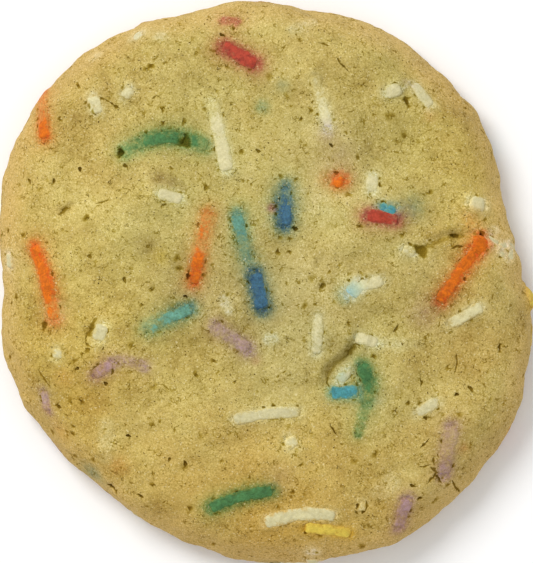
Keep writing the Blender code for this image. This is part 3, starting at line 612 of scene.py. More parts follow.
def top_path(x, y, heading, core, bend=0.0):
    """Places on the sheet along a rod in the top."""
    forward, left = heading_vectors(heading)
    t = shares_along(core)[:, None]
    plan = np.array((x, y)) + forward * core * (t - 0.5) + left * bend * (1 - (2 * t - 1) ** 2)
    return sheet_place(*plan.T)


def wall_path(direction, drop, slant, core):
    """Places on the sheet along a rod in the rim's wall, kept clear of the underside."""
    angle = math.radians(direction)
    rim = rim_radius(angle)
    along = core * (shares_along(core) - 0.5)
    down = np.minimum(ROLL_RUN * drop + along * math.cos(math.radians(slant)), ROLL_RUN * LOWEST_DROP)
    turned = angle + along * math.sin(math.radians(slant)) / rim
    return polar(rim - ROLL_WIDTH + down, turned)


def core_length(length, width):
    return length - width * (1 + TIP_REACH) / 2


def all_rods():
    """Every sprinkle that stands out of the dough."""
    rods = []
    for colour, rows in TOP_SPRINKLES.items():
        for x, y, heading, length, width, rise, end_rise, *bend in rows:
            path = top_path(x, y, heading, core_length(length, width), *bend)
            rods.append(Rod(colour, path, np.linspace(rise, end_rise, len(path)), width, 1.0))
    for colour, rows in RIM_SPRINKLES.items():
        for direction, drop, slant, length, width, rise in rows:
            path = wall_path(direction, drop, slant, core_length(length, width))
            rods.append(Rod(colour, path, np.full(len(path), rise), width, 1.0))
    draw = np.random.default_rng(WALL_SEED)
    sector = 360 / len(WALL_COLOURS)
    for index, colour in enumerate(WALL_COLOURS):
        direction = sector * (index + 0.5 + draw.uniform(-WALL_PLAY, WALL_PLAY))
        slant = draw.uniform(*WALL_SLANTS)
        drop, length, width, rise = (draw.uniform(*limits) for limits in WALL_LIMITS)
        path = wall_path(direction, drop, slant, core_length(length, width))
        rods.append(Rod(colour, path, np.full(len(path), rise), width, WALL_SOAK))
    return rods


def all_sunk():
    """Every sprinkle that shows only as colour through a skin of dough."""
    sunk = []
    for colour, rows in SUNK_SPRINKLES.items():
        for x, y, heading, length, width, strength, *bend in rows:
            sunk.append(Sunk(colour, top_path(x, y, heading, length - width, *bend), width, strength))
    return sunk


def pore_edge(turn, heading):
    """How far an uneven pore's edge lies in each direction, as a share of a plain ellipse."""
    two, three = PORE_LOBES
    return 1 / (1 + two * np.sin(2 * turn + heading) + three * np.sin(3 * turn + 2 * heading))


def pore_reach(pore, places):
    """How far places on the sheet lie from a pore's middle: 1 at its uneven edge."""
    forward, left = heading_vectors(pore.heading)
    along = (places - pore.place) @ forward / pore.long
    across = (places - pore.place) @ left / pore.short
    return np.hypot(along, across) / pore_edge(np.arctan2(across, along), pore.heading)


def clear_pores():
    """The pores that stand out, with their places on the sheet."""
    return [Pore(sheet_place(x, y), *shape, CLEAR_PORE_CORNERS) for x, y, *shape in CLEAR_PORES]


def drawn_place(draw, outline, margin):
    """A random place inside an outline."""
    angle = draw.uniform(0, FULL_TURN)
    return polar((outline(angle) - margin) * math.sqrt(draw.uniform()), angle)


def scattered_pores():
    """Seeded pores, gathered in patches. Places are on the sheet."""
    pores = []
    draw = np.random.default_rng(PORE_SEED)
    usual, patchy = PORE_CHANCE
    for count, radii, stretch, depths, darknesses, corners in PORE_KINDS:
        wanted = len(pores) + count
        while len(pores) < wanted:
            place = drawn_place(draw, sheet_edge, PORE_MARGIN)
            chance = draw.uniform()
            if chance > usual + patchy * swell(np.array([(*place, 0)]), *PORE_PATCHES)[0]:
                continue
            radius = radii[0] + (radii[1] - radii[0]) * draw.uniform() ** 2
            ratio = math.sqrt(draw.uniform(1, stretch))
            heading = draw.uniform(0, 180)
            depth, darkness = draw.uniform(*depths), draw.uniform(*darknesses)
            pores.append(Pore(place, radius * ratio, radius / ratio, heading, depth, darkness, corners))
    return pores


def edge_pores(rods):
    """Small gaps along the rods, where the dough has drawn away from them."""
    draw = np.random.default_rng(EDGE_PORE_SEED)
    longs, shorts, gaps, turns, darknesses = EDGE_PORE_LIMITS
    pores = []
    for rod in rods:
        steps = np.diff(rod.path, axis=0)
        for _index in range(round(EDGE_PORE_SHARE * np.linalg.norm(steps, axis=1).sum()) + 1):
            station = draw.integers(len(steps))
            forward = unit(steps[station])
            side = left_of(forward) * draw.choice((-1, 1))
            place = rod.path[station] + side * (rod.width / 2 + draw.uniform(*gaps))
            heading = math.degrees(math.atan2(forward[1], forward[0])) + draw.uniform(*turns)
            long, short, darkness = (draw.uniform(*limits) for limits in (longs, shorts, darknesses))
            pores.append(Pore(place, long, short, heading, short, darkness, FEWEST_CORNERS))
    return pores


# ---- mesh points ------------------------------------------------------------------------------


def within(points, outline, margin):
    """Which points lie inside an outline by more than a margin."""
    return np.hypot(*points.T) < outline(np.arctan2(points[:, 1], points[:, 0])) - margin


def ring_points(count, outline):
    angles = np.arange(count) / count * FULL_TURN
    return polar(outline(angles), angles)


def triangular_grid(step, reach, outline, seed):
    """Points of a slightly uneven triangular grid inside an outline."""
    row_step = step * math.sqrt(0.75)
    rows = math.ceil(reach / row_step)
    columns = math.ceil(reach / step)
    row, column = np.meshgrid(np.arange(-rows, rows + 1), np.arange(-columns, columns + 1), indexing="ij")
    points = np.stack(((column + row % 2 / 2) * step, row * row_step), axis=-1).reshape(-1, 2)
    points += np.random.default_rng(seed).uniform(-GRID_PLAY, GRID_PLAY, points.shape) * step
    return points[within(points, outline, GRID_MARGIN * step)]


def pore_points(pores):
    """Each pore's centre and the rings round it."""
    points = []
    for pore in pores:
        forward, left = heading_vectors(pore.heading)
        points.append(pore.place)
        for ring in PORE_RINGS if pore.corners > FEWEST_CORNERS else PORE_RINGS[1:]:
            for turn in np.arange(pore.corners) / pore.corners * FULL_TURN:
                offset = forward * math.cos(turn) * pore.long + left * math.sin(turn) * pore.short
                points.append(pore.place + offset * ring * pore_edge(turn, pore.heading))
    return np.array(points)


def row_points(lines, step, rows):
    """Rows of points along lines, each a path with its half width. They are placed on the sheet."""
    points = []
    for path, half_width in lines:
        for start, end in zip(np.array(path), np.array(path)[1:]):
            forward = end - start
            side = unit(left_of(forward)) * half_width
            count = max(1, round(np.linalg.norm(forward) / step))
            for index in range(count + 1):
                points += [start + forward * index / count + side * row for row in rows]
    return sheet_place(*np.array(points).T)


def outline_points(path, width):
    """Rows of points round a rod's outline, on the sheet."""
    forward = unit(np.gradient(path, axis=0))
    left = left_of(forward)
    points = []
    for row in OUTLINE_ROWS:
        reach = width / 2 + row
        points += [*(path + left * reach), *(path - left * reach)]
        count = max(3, round(math.pi * reach / OUTLINE_STEP))
        for turn in np.arange(1, count) / count * math.pi:
            points.append(path[-1] + (left[-1] * math.cos(turn) + forward[-1] * math.sin(turn)) * reach)
            points.append(path[0] + (left[0] * math.cos(turn) - forward[0] * math.sin(turn)) * reach)
    return np.array(points)


def thinned(points, gaps):
    """The points in order, without those nearer than their own gap to one kept before."""
    kept = []
    cells = {}
    size = float(max(gaps))
    around = [(i, j) for i in (-1, 0, 1) for j in (-1, 0, 1)]
    for index, ((x, y), gap) in enumerate(zip(points.tolist(), gaps)):
        column, row = math.floor(x / size), math.floor(y / size)
        others = (other for i, j in around for other in cells.get((column + i, row + j), ()))
        if all((other_x - x) ** 2 + (other_y - y) ** 2 >= gap * gap for other_x, other_y in others):
            kept.append(index)
            cells.setdefault((column, row), []).append((x, y))
    return points[kept]


def merged_sheet(ring, parts, outline):
    """The ring and the points of all parts inside it, thinned by the gap that each part keeps."""
    parts = ((ring, FINE_GAP), *parts)
    points = np.vstack([part for part, _gap in parts])
    gaps = np.concatenate([np.full(len(part), gap) for part, gap in parts])
    fits = within(points, outline, RING_MARGIN)
    fits[: len(ring)] = True
    return thinned(points[fits], gaps[fits].tolist())


def triangulated(points, ring_count):
    """Triangles over points whose first ring_count run anticlockwise round the edge."""
    outline = list(range(ring_count))
    edges = list(zip(outline, outline[1:] + outline[:1]))
    cut = geometry.delaunay_2d_cdt([Vector(point) for point in points], edges, [outline], 1, CUT_TOLERANCE)
    faces, origins = cut[2], cut[3]
    first = [origin[0] for origin in origins]
    return np.array([[first[corner] for corner in face] for face in faces])


# ---- fields over the sheet --------------------------------------------------------------------


class Field:
    """Relief, the darkness of pores and cracks, which is painted shade tinted as their browner dough, and
    dye, which is bled colour, stains and painted shade, for points on a flat sheet.
    """

    def __init__(self, sheet):
        self.sheet = sheet
        self.relief = np.zeros(len(sheet))
        self.darkness = np.zeros(len(sheet))
        self.clear = np.ones(len(sheet))
        self.dye = np.zeros((len(sheet), 3))
        self.weight = np.full(len(sheet), LEAST_WEIGHT)
        self.tree = kdtree.KDTree(len(sheet))
        for index, (u, v) in enumerate(sheet):
            self.tree.insert((u, v, 0), index)
        self.tree.balance()

    def near(self, place, reach):
        found = self.tree.find_range((*place, 0), reach)
        return np.array([index for _co, index, _gap in found], dtype=int)

    def near_path(self, path, width, margin):
        """Points near a rod, their gap to its outline, negative inside, and how far along they are."""
        reach = np.linalg.norm(path[0] - path[-1]) / 2 + width / 2 + margin
        near = self.near((path[0] + path[-1]) / 2, reach)
        sparse = path[:: max(1, len(path) // PATH_LEGS)]
        sparse = np.vstack((sparse, path[-1:])) if np.any(sparse[-1] != path[-1]) else sparse
        gap, along = path_distance(*self.sheet[near].T, sparse)
        return near, gap - width / 2, along

    def add_hollow(self, near, away, depth, darkness, bowl, shade):
        """A pore or crack: how deep it is, and how dark its painted shade is, where it is this share away
        from its middle.
        """
        self.relief[near] -= depth * (1 - eased(away, *bowl))
        self.darkness[near] = np.maximum(self.darkness[near], darkness * (1 - eased(away, *shade)))

    def add_dye(self, near, colour, strength):
        self.dye[near] += np.array(DYES[colour]) * strength[:, None]
        self.weight[near] += strength
        self.clear[near] *= 1 - strength

    def add_pore(self, pore):
        """An uneven bowl, its painted shade darkest at its bottom."""
        near = self.near(pore.place, pore.long * PORE_SEARCH)
        away = pore_reach(pore, self.sheet[near])
        self.add_hollow(near, away, pore.depth, pore.darkness, PORE_BOWL, PORE_SHADOW)

    def add_crack(self, half_width, darkness, path):
        """A ragged, narrow gap that thins out towards its ends, with painted shade in it."""
        path = sheet_place(*np.array(path).T)
        near, gap, along = self.near_path(path, 0.0, CRACK_SEARCH * half_width)
        ragged = 1 + swell(np.hstack((self.sheet[near], np.zeros((len(near), 1)))), *CRACK_RAGS)
        thinning = CRACK_TIP + (1 - CRACK_TIP) * np.sqrt(1 - (2 * along - 1) ** 2)
        away = gap / half_width / thinning / np.maximum(ragged, LEAST_WIDTH)
        self.add_hollow(near, away, CRACK_DEPTH, darkness, CRACK_BOWL, CRACK_SHADOW)

    def add_rod(self, rod):
        """Dough drawn up at a sprinkle's edge, lower under it, and the colour it has bled."""
        near, gap, along = self.near_path(rod.path, rod.width, ROD_SEARCH)
        rise = np.interp(along, np.linspace(0, 1, len(rod.rises)), rod.rises)
        self.relief[near] += MENISCUS[0] * np.clip(rise, 0, 1) * bell(np.maximum(gap, 0), MENISCUS[1])
        self.relief[near] -= DIP[0] * eased(rise, *STANDING) * eased(-gap, 0.0, DIP[1])
        covers = [(*sheet_place(x, y), radius, share) for x, y, radius, share in COVERS]
        fade = cover_fade(bell_relief(*self.sheet[near].T, covers))
        self.add_dye(near, rod.colour, rod.soak * bled(rod.colour, gap, rise) * fade)

    def add_sunk(self, sunk):
        """A low swell over a sunk sprinkle, and its colour, blurred by the skin above it."""
        near, gap, _along = self.near_path(sunk.path, sunk.width, SUNK_SEARCH)
        cover = 1 - eased(gap, -SUNK_BLUR, SUNK_BLUR)
        self.relief[near] += SUNK_RISE * cover
        wide = BLEED.get(sunk.colour, USUAL_BLEED)[1] * bell(np.maximum(gap, 0), BLEED_REACH[1])
        self.add_dye(near, sunk.colour, np.clip(sunk.strength * (cover + wide), 0, MOST_DYE))

    # A soft round patch of a dye. Patches of Shade are painted shade; the rest are stains and toasted
    # spots.
    def add_stain(self, place, radius, colour, strength):
        near = self.near(place, radius * STAIN_SEARCH)
        gap = np.linalg.norm(self.sheet[near] - place, axis=-1)
        self.add_dye(near, colour, strength * bell(gap, radius))

    def dyes(self):
        """Red, green, blue and strength at each point."""
        colour = self.dye / self.weight[:, None]
        return np.hstack((colour, (1 - self.clear)[:, None]))


def cover_fade(cover):
    """What a cover of dough leaves of the colour under it."""
    return 1 - COVER_FADE * np.minimum(cover, 1)


def bled(colour, gap, rise):
    """Strength of a rod's colour in the dough, by the gap to its outline and by its rise."""
    edge, wide = BLEED.get(colour, USUAL_BLEED)
    outside = np.maximum(gap, 0)
    halo = edge * bell(outside, BLEED_REACH[0]) + wide * bell(outside, BLEED_REACH[1])
    covered = COVERED_DYE * eased(-gap, *COVERED_EDGE)
    risen = LOW_DYE + (1 - LOW_DYE) * eased(rise, *LOW_RISES)
    return np.clip((halo + covered) * risen, 0, MOST_DYE)


def marked_field(sheet, pores):
    """The pores and cracks, whose darkness is partly painted shade, and the stains and patches of painted
    shade, for points on the dough or on a sprinkle above it.
    """
    field = Field(sheet)
    for pore in pores:
        field.add_pore(pore)
    for crack in CRACKS:
        field.add_crack(*crack)
    for x, y, *stain_and_shade in STAINS_AND_SHADE:
        field.add_stain(sheet_place(x, y), *stain_and_shade)
    return field


# ---- the dough --------------------------------------------------------------------------------


def top_sheet(rods, pores):
    """Points of the wrapped sheet, its edge first, closer together where the relief is finer."""
    ring = ring_points(round(FULL_TURN * max(RIM_RADII) / RING_STEP), sheet_edge)
    cracks = [(path, half_width) for half_width, _darkness, path in CRACKS]
    creases = [(path, half_width) for path, half_width, _depth, _lip in CREASES]
    parts = (
        (pore_points(pores), FINE_GAP),
        (row_points(cracks, CRACK_STEP, CRACK_ROWS), FINE_GAP),
        (row_points(creases, CREASE_STEP, CREASE_ROWS), MIDDLE_GAP),
        (np.vstack([outline_points(rod.path, rod.width) for rod in rods]), MIDDLE_GAP),
        (triangular_grid(GRID_STEP, SHEET_REACH, sheet_edge, PORE_SEED), KEEP_APART * GRID_STEP),
    )
    return merged_sheet(ring, parts, sheet_edge), len(ring)


def base_field(foot):
    """The underside's sheet, which starts with the dough's foot, with its pores and sprinkles."""
    draw = np.random.default_rng(BASE_SEED)
    cores, widths, strengths = BASE_SPRINKLE_LIMITS
    sprinkles = []
    colours = list(SPRINKLE_COLOURS)
    for index in range(BASE_SPRINKLES):
        middle = drawn_place(draw, foot_radius, BASE_MARGIN)
        forward, _left = heading_vectors(draw.uniform(0, 180))
        core = draw.uniform(*cores)
        path = middle + forward * np.linspace(-core / 2, core / 2, BASE_STATIONS)[:, None]
        colour = "Cream" if index % 2 else colours[index // 2 % len(colours)]
        sprinkles.append(Sunk(colour, path, draw.uniform(*widths), draw.uniform(*strengths)))
    least, extra, stretch, depth, darknesses = BASE_PORE_LIMITS
    pores = []
    for _index in range(BASE_PORES):
        radius = least + extra * draw.uniform() ** 2
        ratio = math.sqrt(draw.uniform(1, stretch))
        place, heading = drawn_place(draw, foot_radius, BASE_MARGIN), draw.uniform(0, 180)
        darkness = draw.uniform(*darknesses)
        pores.append(Pore(place, radius * ratio, radius / ratio, heading, depth, darkness, FEWEST_CORNERS))
    parts = (
        (pore_points(pores), BASE_PORE_GAP),
        (np.vstack([outline_points(sprinkle.path, sprinkle.width) for sprinkle in sprinkles]), BASE_GAP),
        (triangular_grid(BASE_STEP, BASE_REACH, foot_radius, BASE_SEED), KEEP_APART * BASE_STEP),
    )
    field = Field(merged_sheet(foot, parts, foot_radius))
    for pore in pores:
        field.add_pore(pore)
    for sprinkle in sprinkles:
        field.add_sunk(sprinkle)
    return field


def dough_top(rods):
    """Corners of the dough from its foot upwards, their field, and how many are in the foot."""
    sunk = all_sunk()
    pores = clear_pores() + scattered_pores() + edge_pores(rods)
    sheet, ring_count = top_sheet(rods + sunk, pores)
    field = marked_field(sheet, pores)
    for rod in rods:
        field.add_rod(rod)
    for sprinkle in sunk:
        field.add_sunk(sprinkle)
    points, normals = skin(sheet)
    relief = field.relief + sum(swell(points, *crumb) for crumb in CRUMB_SWELLS)
    points += normals * (relief * eased(points[:, 2], *FOOT_FADE))[:, None]
    points[:ring_count, 2] = 0
    return points, field, ring_count


def dough_base(foot):
    """Corners of the underside from the dough's foot inwards, and their field."""
    field = base_field(foot)
    points = np.hstack((field.sheet, np.zeros((len(field.sheet), 1))))
    hollow = np.abs(swell(points, *BASE_RELIEF)) - np.minimum(field.relief, 0)
    x, y, _height = points.T
    away = foot_radius(np.arctan2(y, x)) - np.hypot(x, y)
    points[:, 2] = hollow * eased(away, *BASE_FADE)
    points[: len(foot), 2] = 0
    return points, field


def dough_piece(rods):
    """The whole dough, whose top and underside share the corners of its foot."""
    top, top_field, ring_count = dough_top(rods)
    base, base_marks = dough_base(top[:ring_count, :2])
    top_faces = triangulated(top_field.sheet, ring_count)
    base_faces = triangulated(base_marks.sheet, ring_count)[:, ::-1]
    base_faces = np.where(base_faces < ring_count, base_faces, base_faces + len(top) - ring_count)
    corners = np.vstack((top, base[ring_count:]))
    faces = np.vstack((top_faces, base_faces)).tolist()
    browned = np.concatenate((1 - eased(top[:, 2], *BROWN_HEIGHTS), np.ones(len(base) - ring_count)))
    made = mesh_piece("dough", corners, faces, dough_material())
    # How dark the pores and cracks are: partly browner dough, partly painted shade
    add_attribute(made, "pit_shade", np.concatenate((top_field.darkness, base_marks.darkness[ring_count:])))
    add_attribute(made, "base", browned)
    # Bled colour, stains and the painted shade of the Shade patches
    add_attribute(made, "dye", np.vstack((top_field.dyes(), base_marks.dyes()[ring_count:])))
    add_tints(made, corners)
    return made


def add_tints(piece, corners):
    """How pale and how toasted the dough is, in broad areas, one darker area being painted shade beside
    the fold, and how near the rim it is.
    """
    x, y, height = corners.T
    above = eased(height, *TINTED_HEIGHTS)
    tints = {"pale_and_shade": 0, "toast": 0, "gold": 0}
    for tint_x, tint_y, radius, *shares in TINTS_AND_SHADE:
        level = bell(np.hypot(x - tint_x, y - tint_y), radius)
        for name, share in zip(tints, shares):
            tints[name] = tints[name] + share * level
    for name, values in tints.items():
        add_attribute(piece, name, values * above)
    edge = rim_radius(np.arctan2(y, x)) - np.hypot(x, y)
    add_attribute(piece, "rim", 1 - eased(edge, 0.0, RIM_BAND))


def mesh_piece(name, corners, faces, material):
    data = bpy.data.meshes.new(name)
    data.from_pydata((corners * MM).tolist(), [], faces)
    data.materials.append(material)
    data.shade_smooth()
    made = bpy.data.objects.new(name, data)
    bpy.context.scene.collection.objects.link(made)
    return made


def add_attribute(piece, name, values):
    """A number or a colour for each corner of a piece."""
    kind, key = ("FLOAT", "value") if values.ndim == 1 else ("FLOAT_COLOR", "color")
    made = piece.data.attributes.new(name, kind, "POINT")
    made.data.foreach_set(key, values.astype(np.float32).ravel())


# ---- the sprinkles ----------------------------------------------------------------------------


def section():
    """Corners of a rod's blunt section: across and up, for a rod of unit half width."""
    angles = np.linspace(0, FULL_TURN, SECTION_STEPS + 1)
    waves = np.stack((np.cos(angles), np.sin(angles)))
    across, up = np.sign(waves) * np.abs(waves) ** ROD_SQUARENESS
    up = up * SPRINKLE_FLATNESS
    run = np.concatenate(([0], np.cumsum(np.hypot(np.diff(across), np.diff(up)))))
    even = (np.arange(ROD_SIDES) + 0.5) / ROD_SIDES * run[-1]
    return np.interp(even, run, across), np.interp(even, run, up)


def rod_stations(half, run, draw):
    """Where a rod has its rings of corners along the run of its core, and how thick it is there."""
    start, end = half * TIP_START, run[-1] - half * TIP_START
    body = run[(run > start) & (run < end)]
    steps = np.array(TIP_STEPS)
    reach = steps * (half * (TIP_START + TIP_REACH))
    taper = (1 - steps**TIP_POWER) ** (1 / TIP_POWER)
    taper[-1] = TIP_END
    stations = np.concatenate((start - reach[::-1], body, end + reach))
    scales = np.concatenate((taper[::-1], np.ones(len(body)), taper))
    count, share, wavelength, play = ROD_WAVES
    waves = sum(
        np.sin(stations * FULL_TURN / (wavelength * draw.uniform(*play)) + draw.uniform(0, FULL_TURN))
        for _wave in range(count)
    )
    return stations, scales * (1 + share * waves)


def rod_shape(rod, seed):
    """Corners of one sprinkle, ring by ring, and how bare, dyed, pitted and stained each is, where the
    pits and some stains are painted shade.
    """
    half = rod.width / 2
    across, up = section()
    points, normals = skin(rod.path)
    centres = points + normals * (rod.rises - half * up.max())[:, None]
    run = np.concatenate(([0], np.cumsum(np.linalg.norm(np.diff(centres, axis=0), axis=1))))
    forwards = unit(np.gradient(centres, run, axis=0))
    sides = unit(np.cross(normals, forwards))
    ups = np.cross(forwards, sides)
    stations, scales = rod_stations(half, run, np.random.default_rng(seed))
    before, after = np.minimum(stations, 0)[:, None], np.maximum(stations - run[-1], 0)[:, None]

    middles = resampled(centres, run, stations) + forwards[0] * before + forwards[-1] * after
    wide = (half * ROD_FULLNESS * scales)[:, None] * across
    tall = (half * scales)[:, None] * up
    sideways = unit(resampled(sides, run, stations))[:, None] * wide[..., None]
    upwards = unit(resampled(ups, run, stations))[:, None] * tall[..., None]
    corners = (middles[:, None] + sideways + upwards).reshape(-1, 3)
    outward = unit(corners - np.repeat(middles, ROD_SIDES, axis=0))
    corners = corners + outward * swell(corners, *ROD_GRAIN, seed + GRAIN_SEED)[:, None]

    forwards = unit(np.gradient(rod.path, axis=0))
    spots = np.clip(stations / run[-1], 0, 1) * (len(rod.path) - 1)
    index = np.arange(len(rod.path))
    path = resampled(rod.path, index, spots) + forwards[0] * before + forwards[-1] * after
    left = resampled(left_of(forwards), index, spots)
    under = (path[:, None] + left[:, None] * wide[..., None]).reshape(-1, 2)
    rises = np.repeat(np.interp(spots, index, rod.rises), ROD_SIDES)
    return rod_marks(rod, corners, under, rises)


def rod_marks(rod, corners, under, rises):
    """The corners, sunk where a pore or crack crosses the sprinkle, and what each one shows, with the
    painted shade of pores, cracks and Shade patches.

    Under are the places on the sheet that lie below the corners.
    """
    half = rod.width / 2
    ground, normals = skin(under)
    height = ((corners - ground) * normals).sum(axis=-1) - MENISCUS[0] * np.maximum(rises, 0)
    gap, _along = path_distance(*under.T, rod.path)
    bare = np.minimum(height / BARE_HEIGHT, (half * ROD_FULLNESS - gap) / BARE_INSET)
    cover = bell_relief(corners[:, 0], corners[:, 1], COVERS)
    dye = bled(rod.colour, gap - half, rises) * cover_fade(cover)
    marks = marked_field(under, clear_pores())
    corners = corners + normals * np.minimum(marks.relief, 0)[:, None]
    return corners, {"bare": bare - cover, "bled": dye, "pit_shade": marks.darkness, "stain_and_shade": marks.dyes()}


def tube_faces(rings):
    """Faces of a closed tube of rings of corners that follow each other, and of its two ends."""
    faces = []
    for low in range(0, (rings - 1) * ROD_SIDES, ROD_SIDES):
        for side in range(ROD_SIDES):
            turn, high = (side + 1) % ROD_SIDES, low + ROD_SIDES
            faces.append((low + side, low + turn, high + turn, high + side))
    last = range((rings - 1) * ROD_SIDES, rings * ROD_SIDES)
    return faces + [tuple(range(ROD_SIDES))[::-1], tuple(last)]


def sprinkle_piece(colour, members):
    """All the sprinkles of one colour, joined. Each member is a seed and a rod."""
    corners, faces, values = [], [], {}
    count = 0
    for seed, rod in members:
        points, fields = rod_shape(rod, seed)
        fields["shade"] = np.full(len(points), np.random.default_rng(seed + SHADE_SEED).uniform(-1, 1))
        corners.append(points)
        tube = tube_faces(len(points) // ROD_SIDES)
        faces += [tuple(corner + count for corner in face) for face in tube]
        for name, field in fields.items():
            values.setdefault(name, []).append(field)
        count += len(points)
    corners = np.vstack(corners)
    made = mesh_piece("sprinkles_" + colour.lower(), corners, faces, sprinkle_material(colour))
    for name, fields in values.items():
        add_attribute(made, name, np.concatenate(fields))
    add_tints(made, corners)
    return made


# ---- materials --------------------------------------------------------------------------------

DOUGH_TONES = (
    (0.00, (0.255, 0.163, 0.031)),
    (0.25, (0.385, 0.274, 0.064)),
    (0.50, (0.505, 0.384, 0.112)),
    (0.75, (0.600, 0.474, 0.155)),
    (1.00, (0.720, 0.600, 0.248)),
)
USUAL_TONE = DOUGH_TONES[2][1]
TOASTED = (0.560, 0.345, 0.080)
GREENISH = (0.420, 0.378, 0.115)
HUE_STRENGTH = 0.75
GOLD_TONES = ((0.0, (0.98, 1.0, 1.45)), (0.5, (1.0, 1.0, 1.0)), (1.0, (1.03, 1.0, 0.65)))
RIM_TONE = (0.590, 0.390, 0.126)
WALL_TONE = (0.500, 0.315, 0.095)
BASE_TONE = (0.400, 0.200, 0.052)
# Painted shade of the darkest pores and cracks, tinted as their browner dough
PORE_SHADE = (0.21, 0.150, 0.010)  # what the darkest pores leave of each part of the light
# Pale sugar crystals: partly their own pale colour, partly a painted sparkle
CRYSTAL_SPARKLE_TONE = (0.86, 0.76, 0.44)
GRAIN_SHARES = (0.89, 1.0, 1.7)  # of red, green and blue
DARK_EDGES = ("Orange", "Red", "Green", "Teal", "Blue", "Sky")
PALE = ("Cream", "Yellow")
BARE_RANGE = {"Cream": (-0.2, 1.0), "Lilac": (0.0, 2.0), "Yellow": (-0.2, 1.1)}
USUAL_BARE_RANGE = (0.05, 0.80)
SUGAR_MOTTLE = {"Cream": (0.88, 1.12, 0.16), "Lilac": (0.86, 1.20, 0.30), "Yellow": (0.88, 1.12, 0.22)}
USUAL_MOTTLE = (0.78, 1.25, 0.32)  # darkest and lightest in blotches, and the grain

# Noises: size in millimetres, detail, roughness, distortion
BLOTCHES = (9.0, 6.0, 0.76)
BROWNING = (4.0, 4.0, 0.7)
SAND = (0.27, 3.0, 0.9)
SOFT_LUMPS = (0.9, 3.0, 0.6)
MOTTLE = (0.7, 2.0, 0.65, 0.6)
WANDER = (0.7, 4.0, 0.78)
# Ranges: the low and the high end of the values that count, and what those ends turn to, which is
# 0 and 1 where it isn't given
BLOTCH_RANGE = (0.23, 0.77)
RIM_PLAY = (0.3, 0.7, -0.35, 0.25)
RIM_RANGE = (0.1, 1.1, 0.0, 0.8)
BROWN_AREAS = (
    (WALL_TONE, (0.3, 0.7, -0.15, 0.15), (0.05, 0.6, 0.0, 0.7)),
    (BASE_TONE, (0.3, 0.7, -0.12, 0.12), (0.85, 1.1, 0.0, 0.75)),
)  # tone, range of the noise in its edge, range of the whole
PIT_SHEEN = (0.0, 0.5, 0.7, 1.0)
GRIT_ENDS = (0.25, 0.75)
MOTTLE_ENDS = (0.33, 0.67)
WANDER_RANGE = (0.3, 0.7, -1.2, 1.2)
DARK_EDGE_RANGE = (0.0, 0.5, 0.75, 0.0)
DARK_EDGE_GAPS = (0.40, 0.55, 1.0, 0.2)
SUGAR_SHEEN = (0.3, 0.7, 0.50, 0.75)
# Noises with their range, and how far they are moved in millimetres, to be like no other
CRUMBS = ((1.1, 5.0, 0.95, 0.3), (0.32, 0.68, -0.16, 0.16))
HUES = ((20.0, 5.0, 0.6), (0.25, 0.75, -0.60, 0.60), (40, 7, 3))
SOAKING = ((0.5, 3.0, 0.75), (0.3, 0.7, 0.45, 1.50))
GRAIN = ((0.24, 3.0, 0.9), (0.25, 0.75, -0.54, 0.54))
COARSENESS = ((2.2, 3.0, 0.6), (0.35, 0.65, 0.65, 1.30), (9, 14, 33))
CRYSTAL_SPARKLES = ((0.24, 1.0, 0.5), (0.63, 0.75, 0.0, 0.50), (13, 29, 51))
SHEEN = ((0.8, 3.0, 0.6), (0.3, 0.7, 0.72, 0.92))
VEIL = ((2.4, 3.0, 0.6), (0.50, 0.72, 0.0, 0.9), (31, 5, 2))

DOUGH_BUMP = (0.13, 0.9, 0.8)  # depth in millimetres, and how much of it is soft lumps and sand
SUGAR_BUMP = 0.06
ROD_SHADE = 0.08  # how much lighter or darker a whole rod can be
DARK_EDGE_PLACE = 0.3

# Specks too small for the mesh, pinholes darkened with painted shade: spacing in millimetres, most radius,
# how many cells have none
SPECKS = (0.44, 0.09, 0.42)
SPECK_BEND = (0.35, 1.0, 0.35)  # size and detail of the noise that moves the cells, and how far
SPECK_DARKNESS = (0.0, 1.0, 0.25, 1.0)
SPECK_EDGE = (-0.01, 0.06)
# Gaps between crumbs, darkened with painted shade: size in millimetres, where the noise opens them,
# darkness
CRUMB_GAPS = ((0.42, 0.652, 0.90), (0.80, 0.718, 0.75))
GAP_SHAPE = (3.0, 0.75, 1.2)
GAP_PATCHES = ((5.5, 3.0, 0.6), (0.35, 0.65, 0.045, -0.03))
GAP_DEPTHS = ((1.3, 2.0), (0.35, 0.65, 0.35, 1.0))
GAP_EDGE = (0.0, 0.035)
# Cracks between larger crumbs, darkened with painted shade: walls of bent cells, where two noises leave
# them open
CREVICE_SIZE = 1.0
CREVICE_BEND = (0.8, 2.0, 0.9)
CREVICE_EDGE = (0.02, 0.07, 1.0, 0.0)
CREVICE_PATCHES = ((5.0, 2.0), (0.42, 0.62), (5, 61, 23))
CREVICE_PARTS = ((0.7, 2.0, 0.6), (0.46, 0.60), (37, 9, 11))
CREVICE_DARKNESS = 0.27
# Hair cracks, darkened with painted shade: a thin line where one noise has its middle value, broken up by
# another
HAIR_CURVES = (1.9, 3.0, 0.7, 0.4)
HAIR_EDGE = (0.009, 0.030, 1.0, 0.0)
HAIR_PARTS = ((1.14, 2.0, 0.6), (0.57, 0.65), (17, 3, 134.9))
HAIR_DARKNESS = 0.40


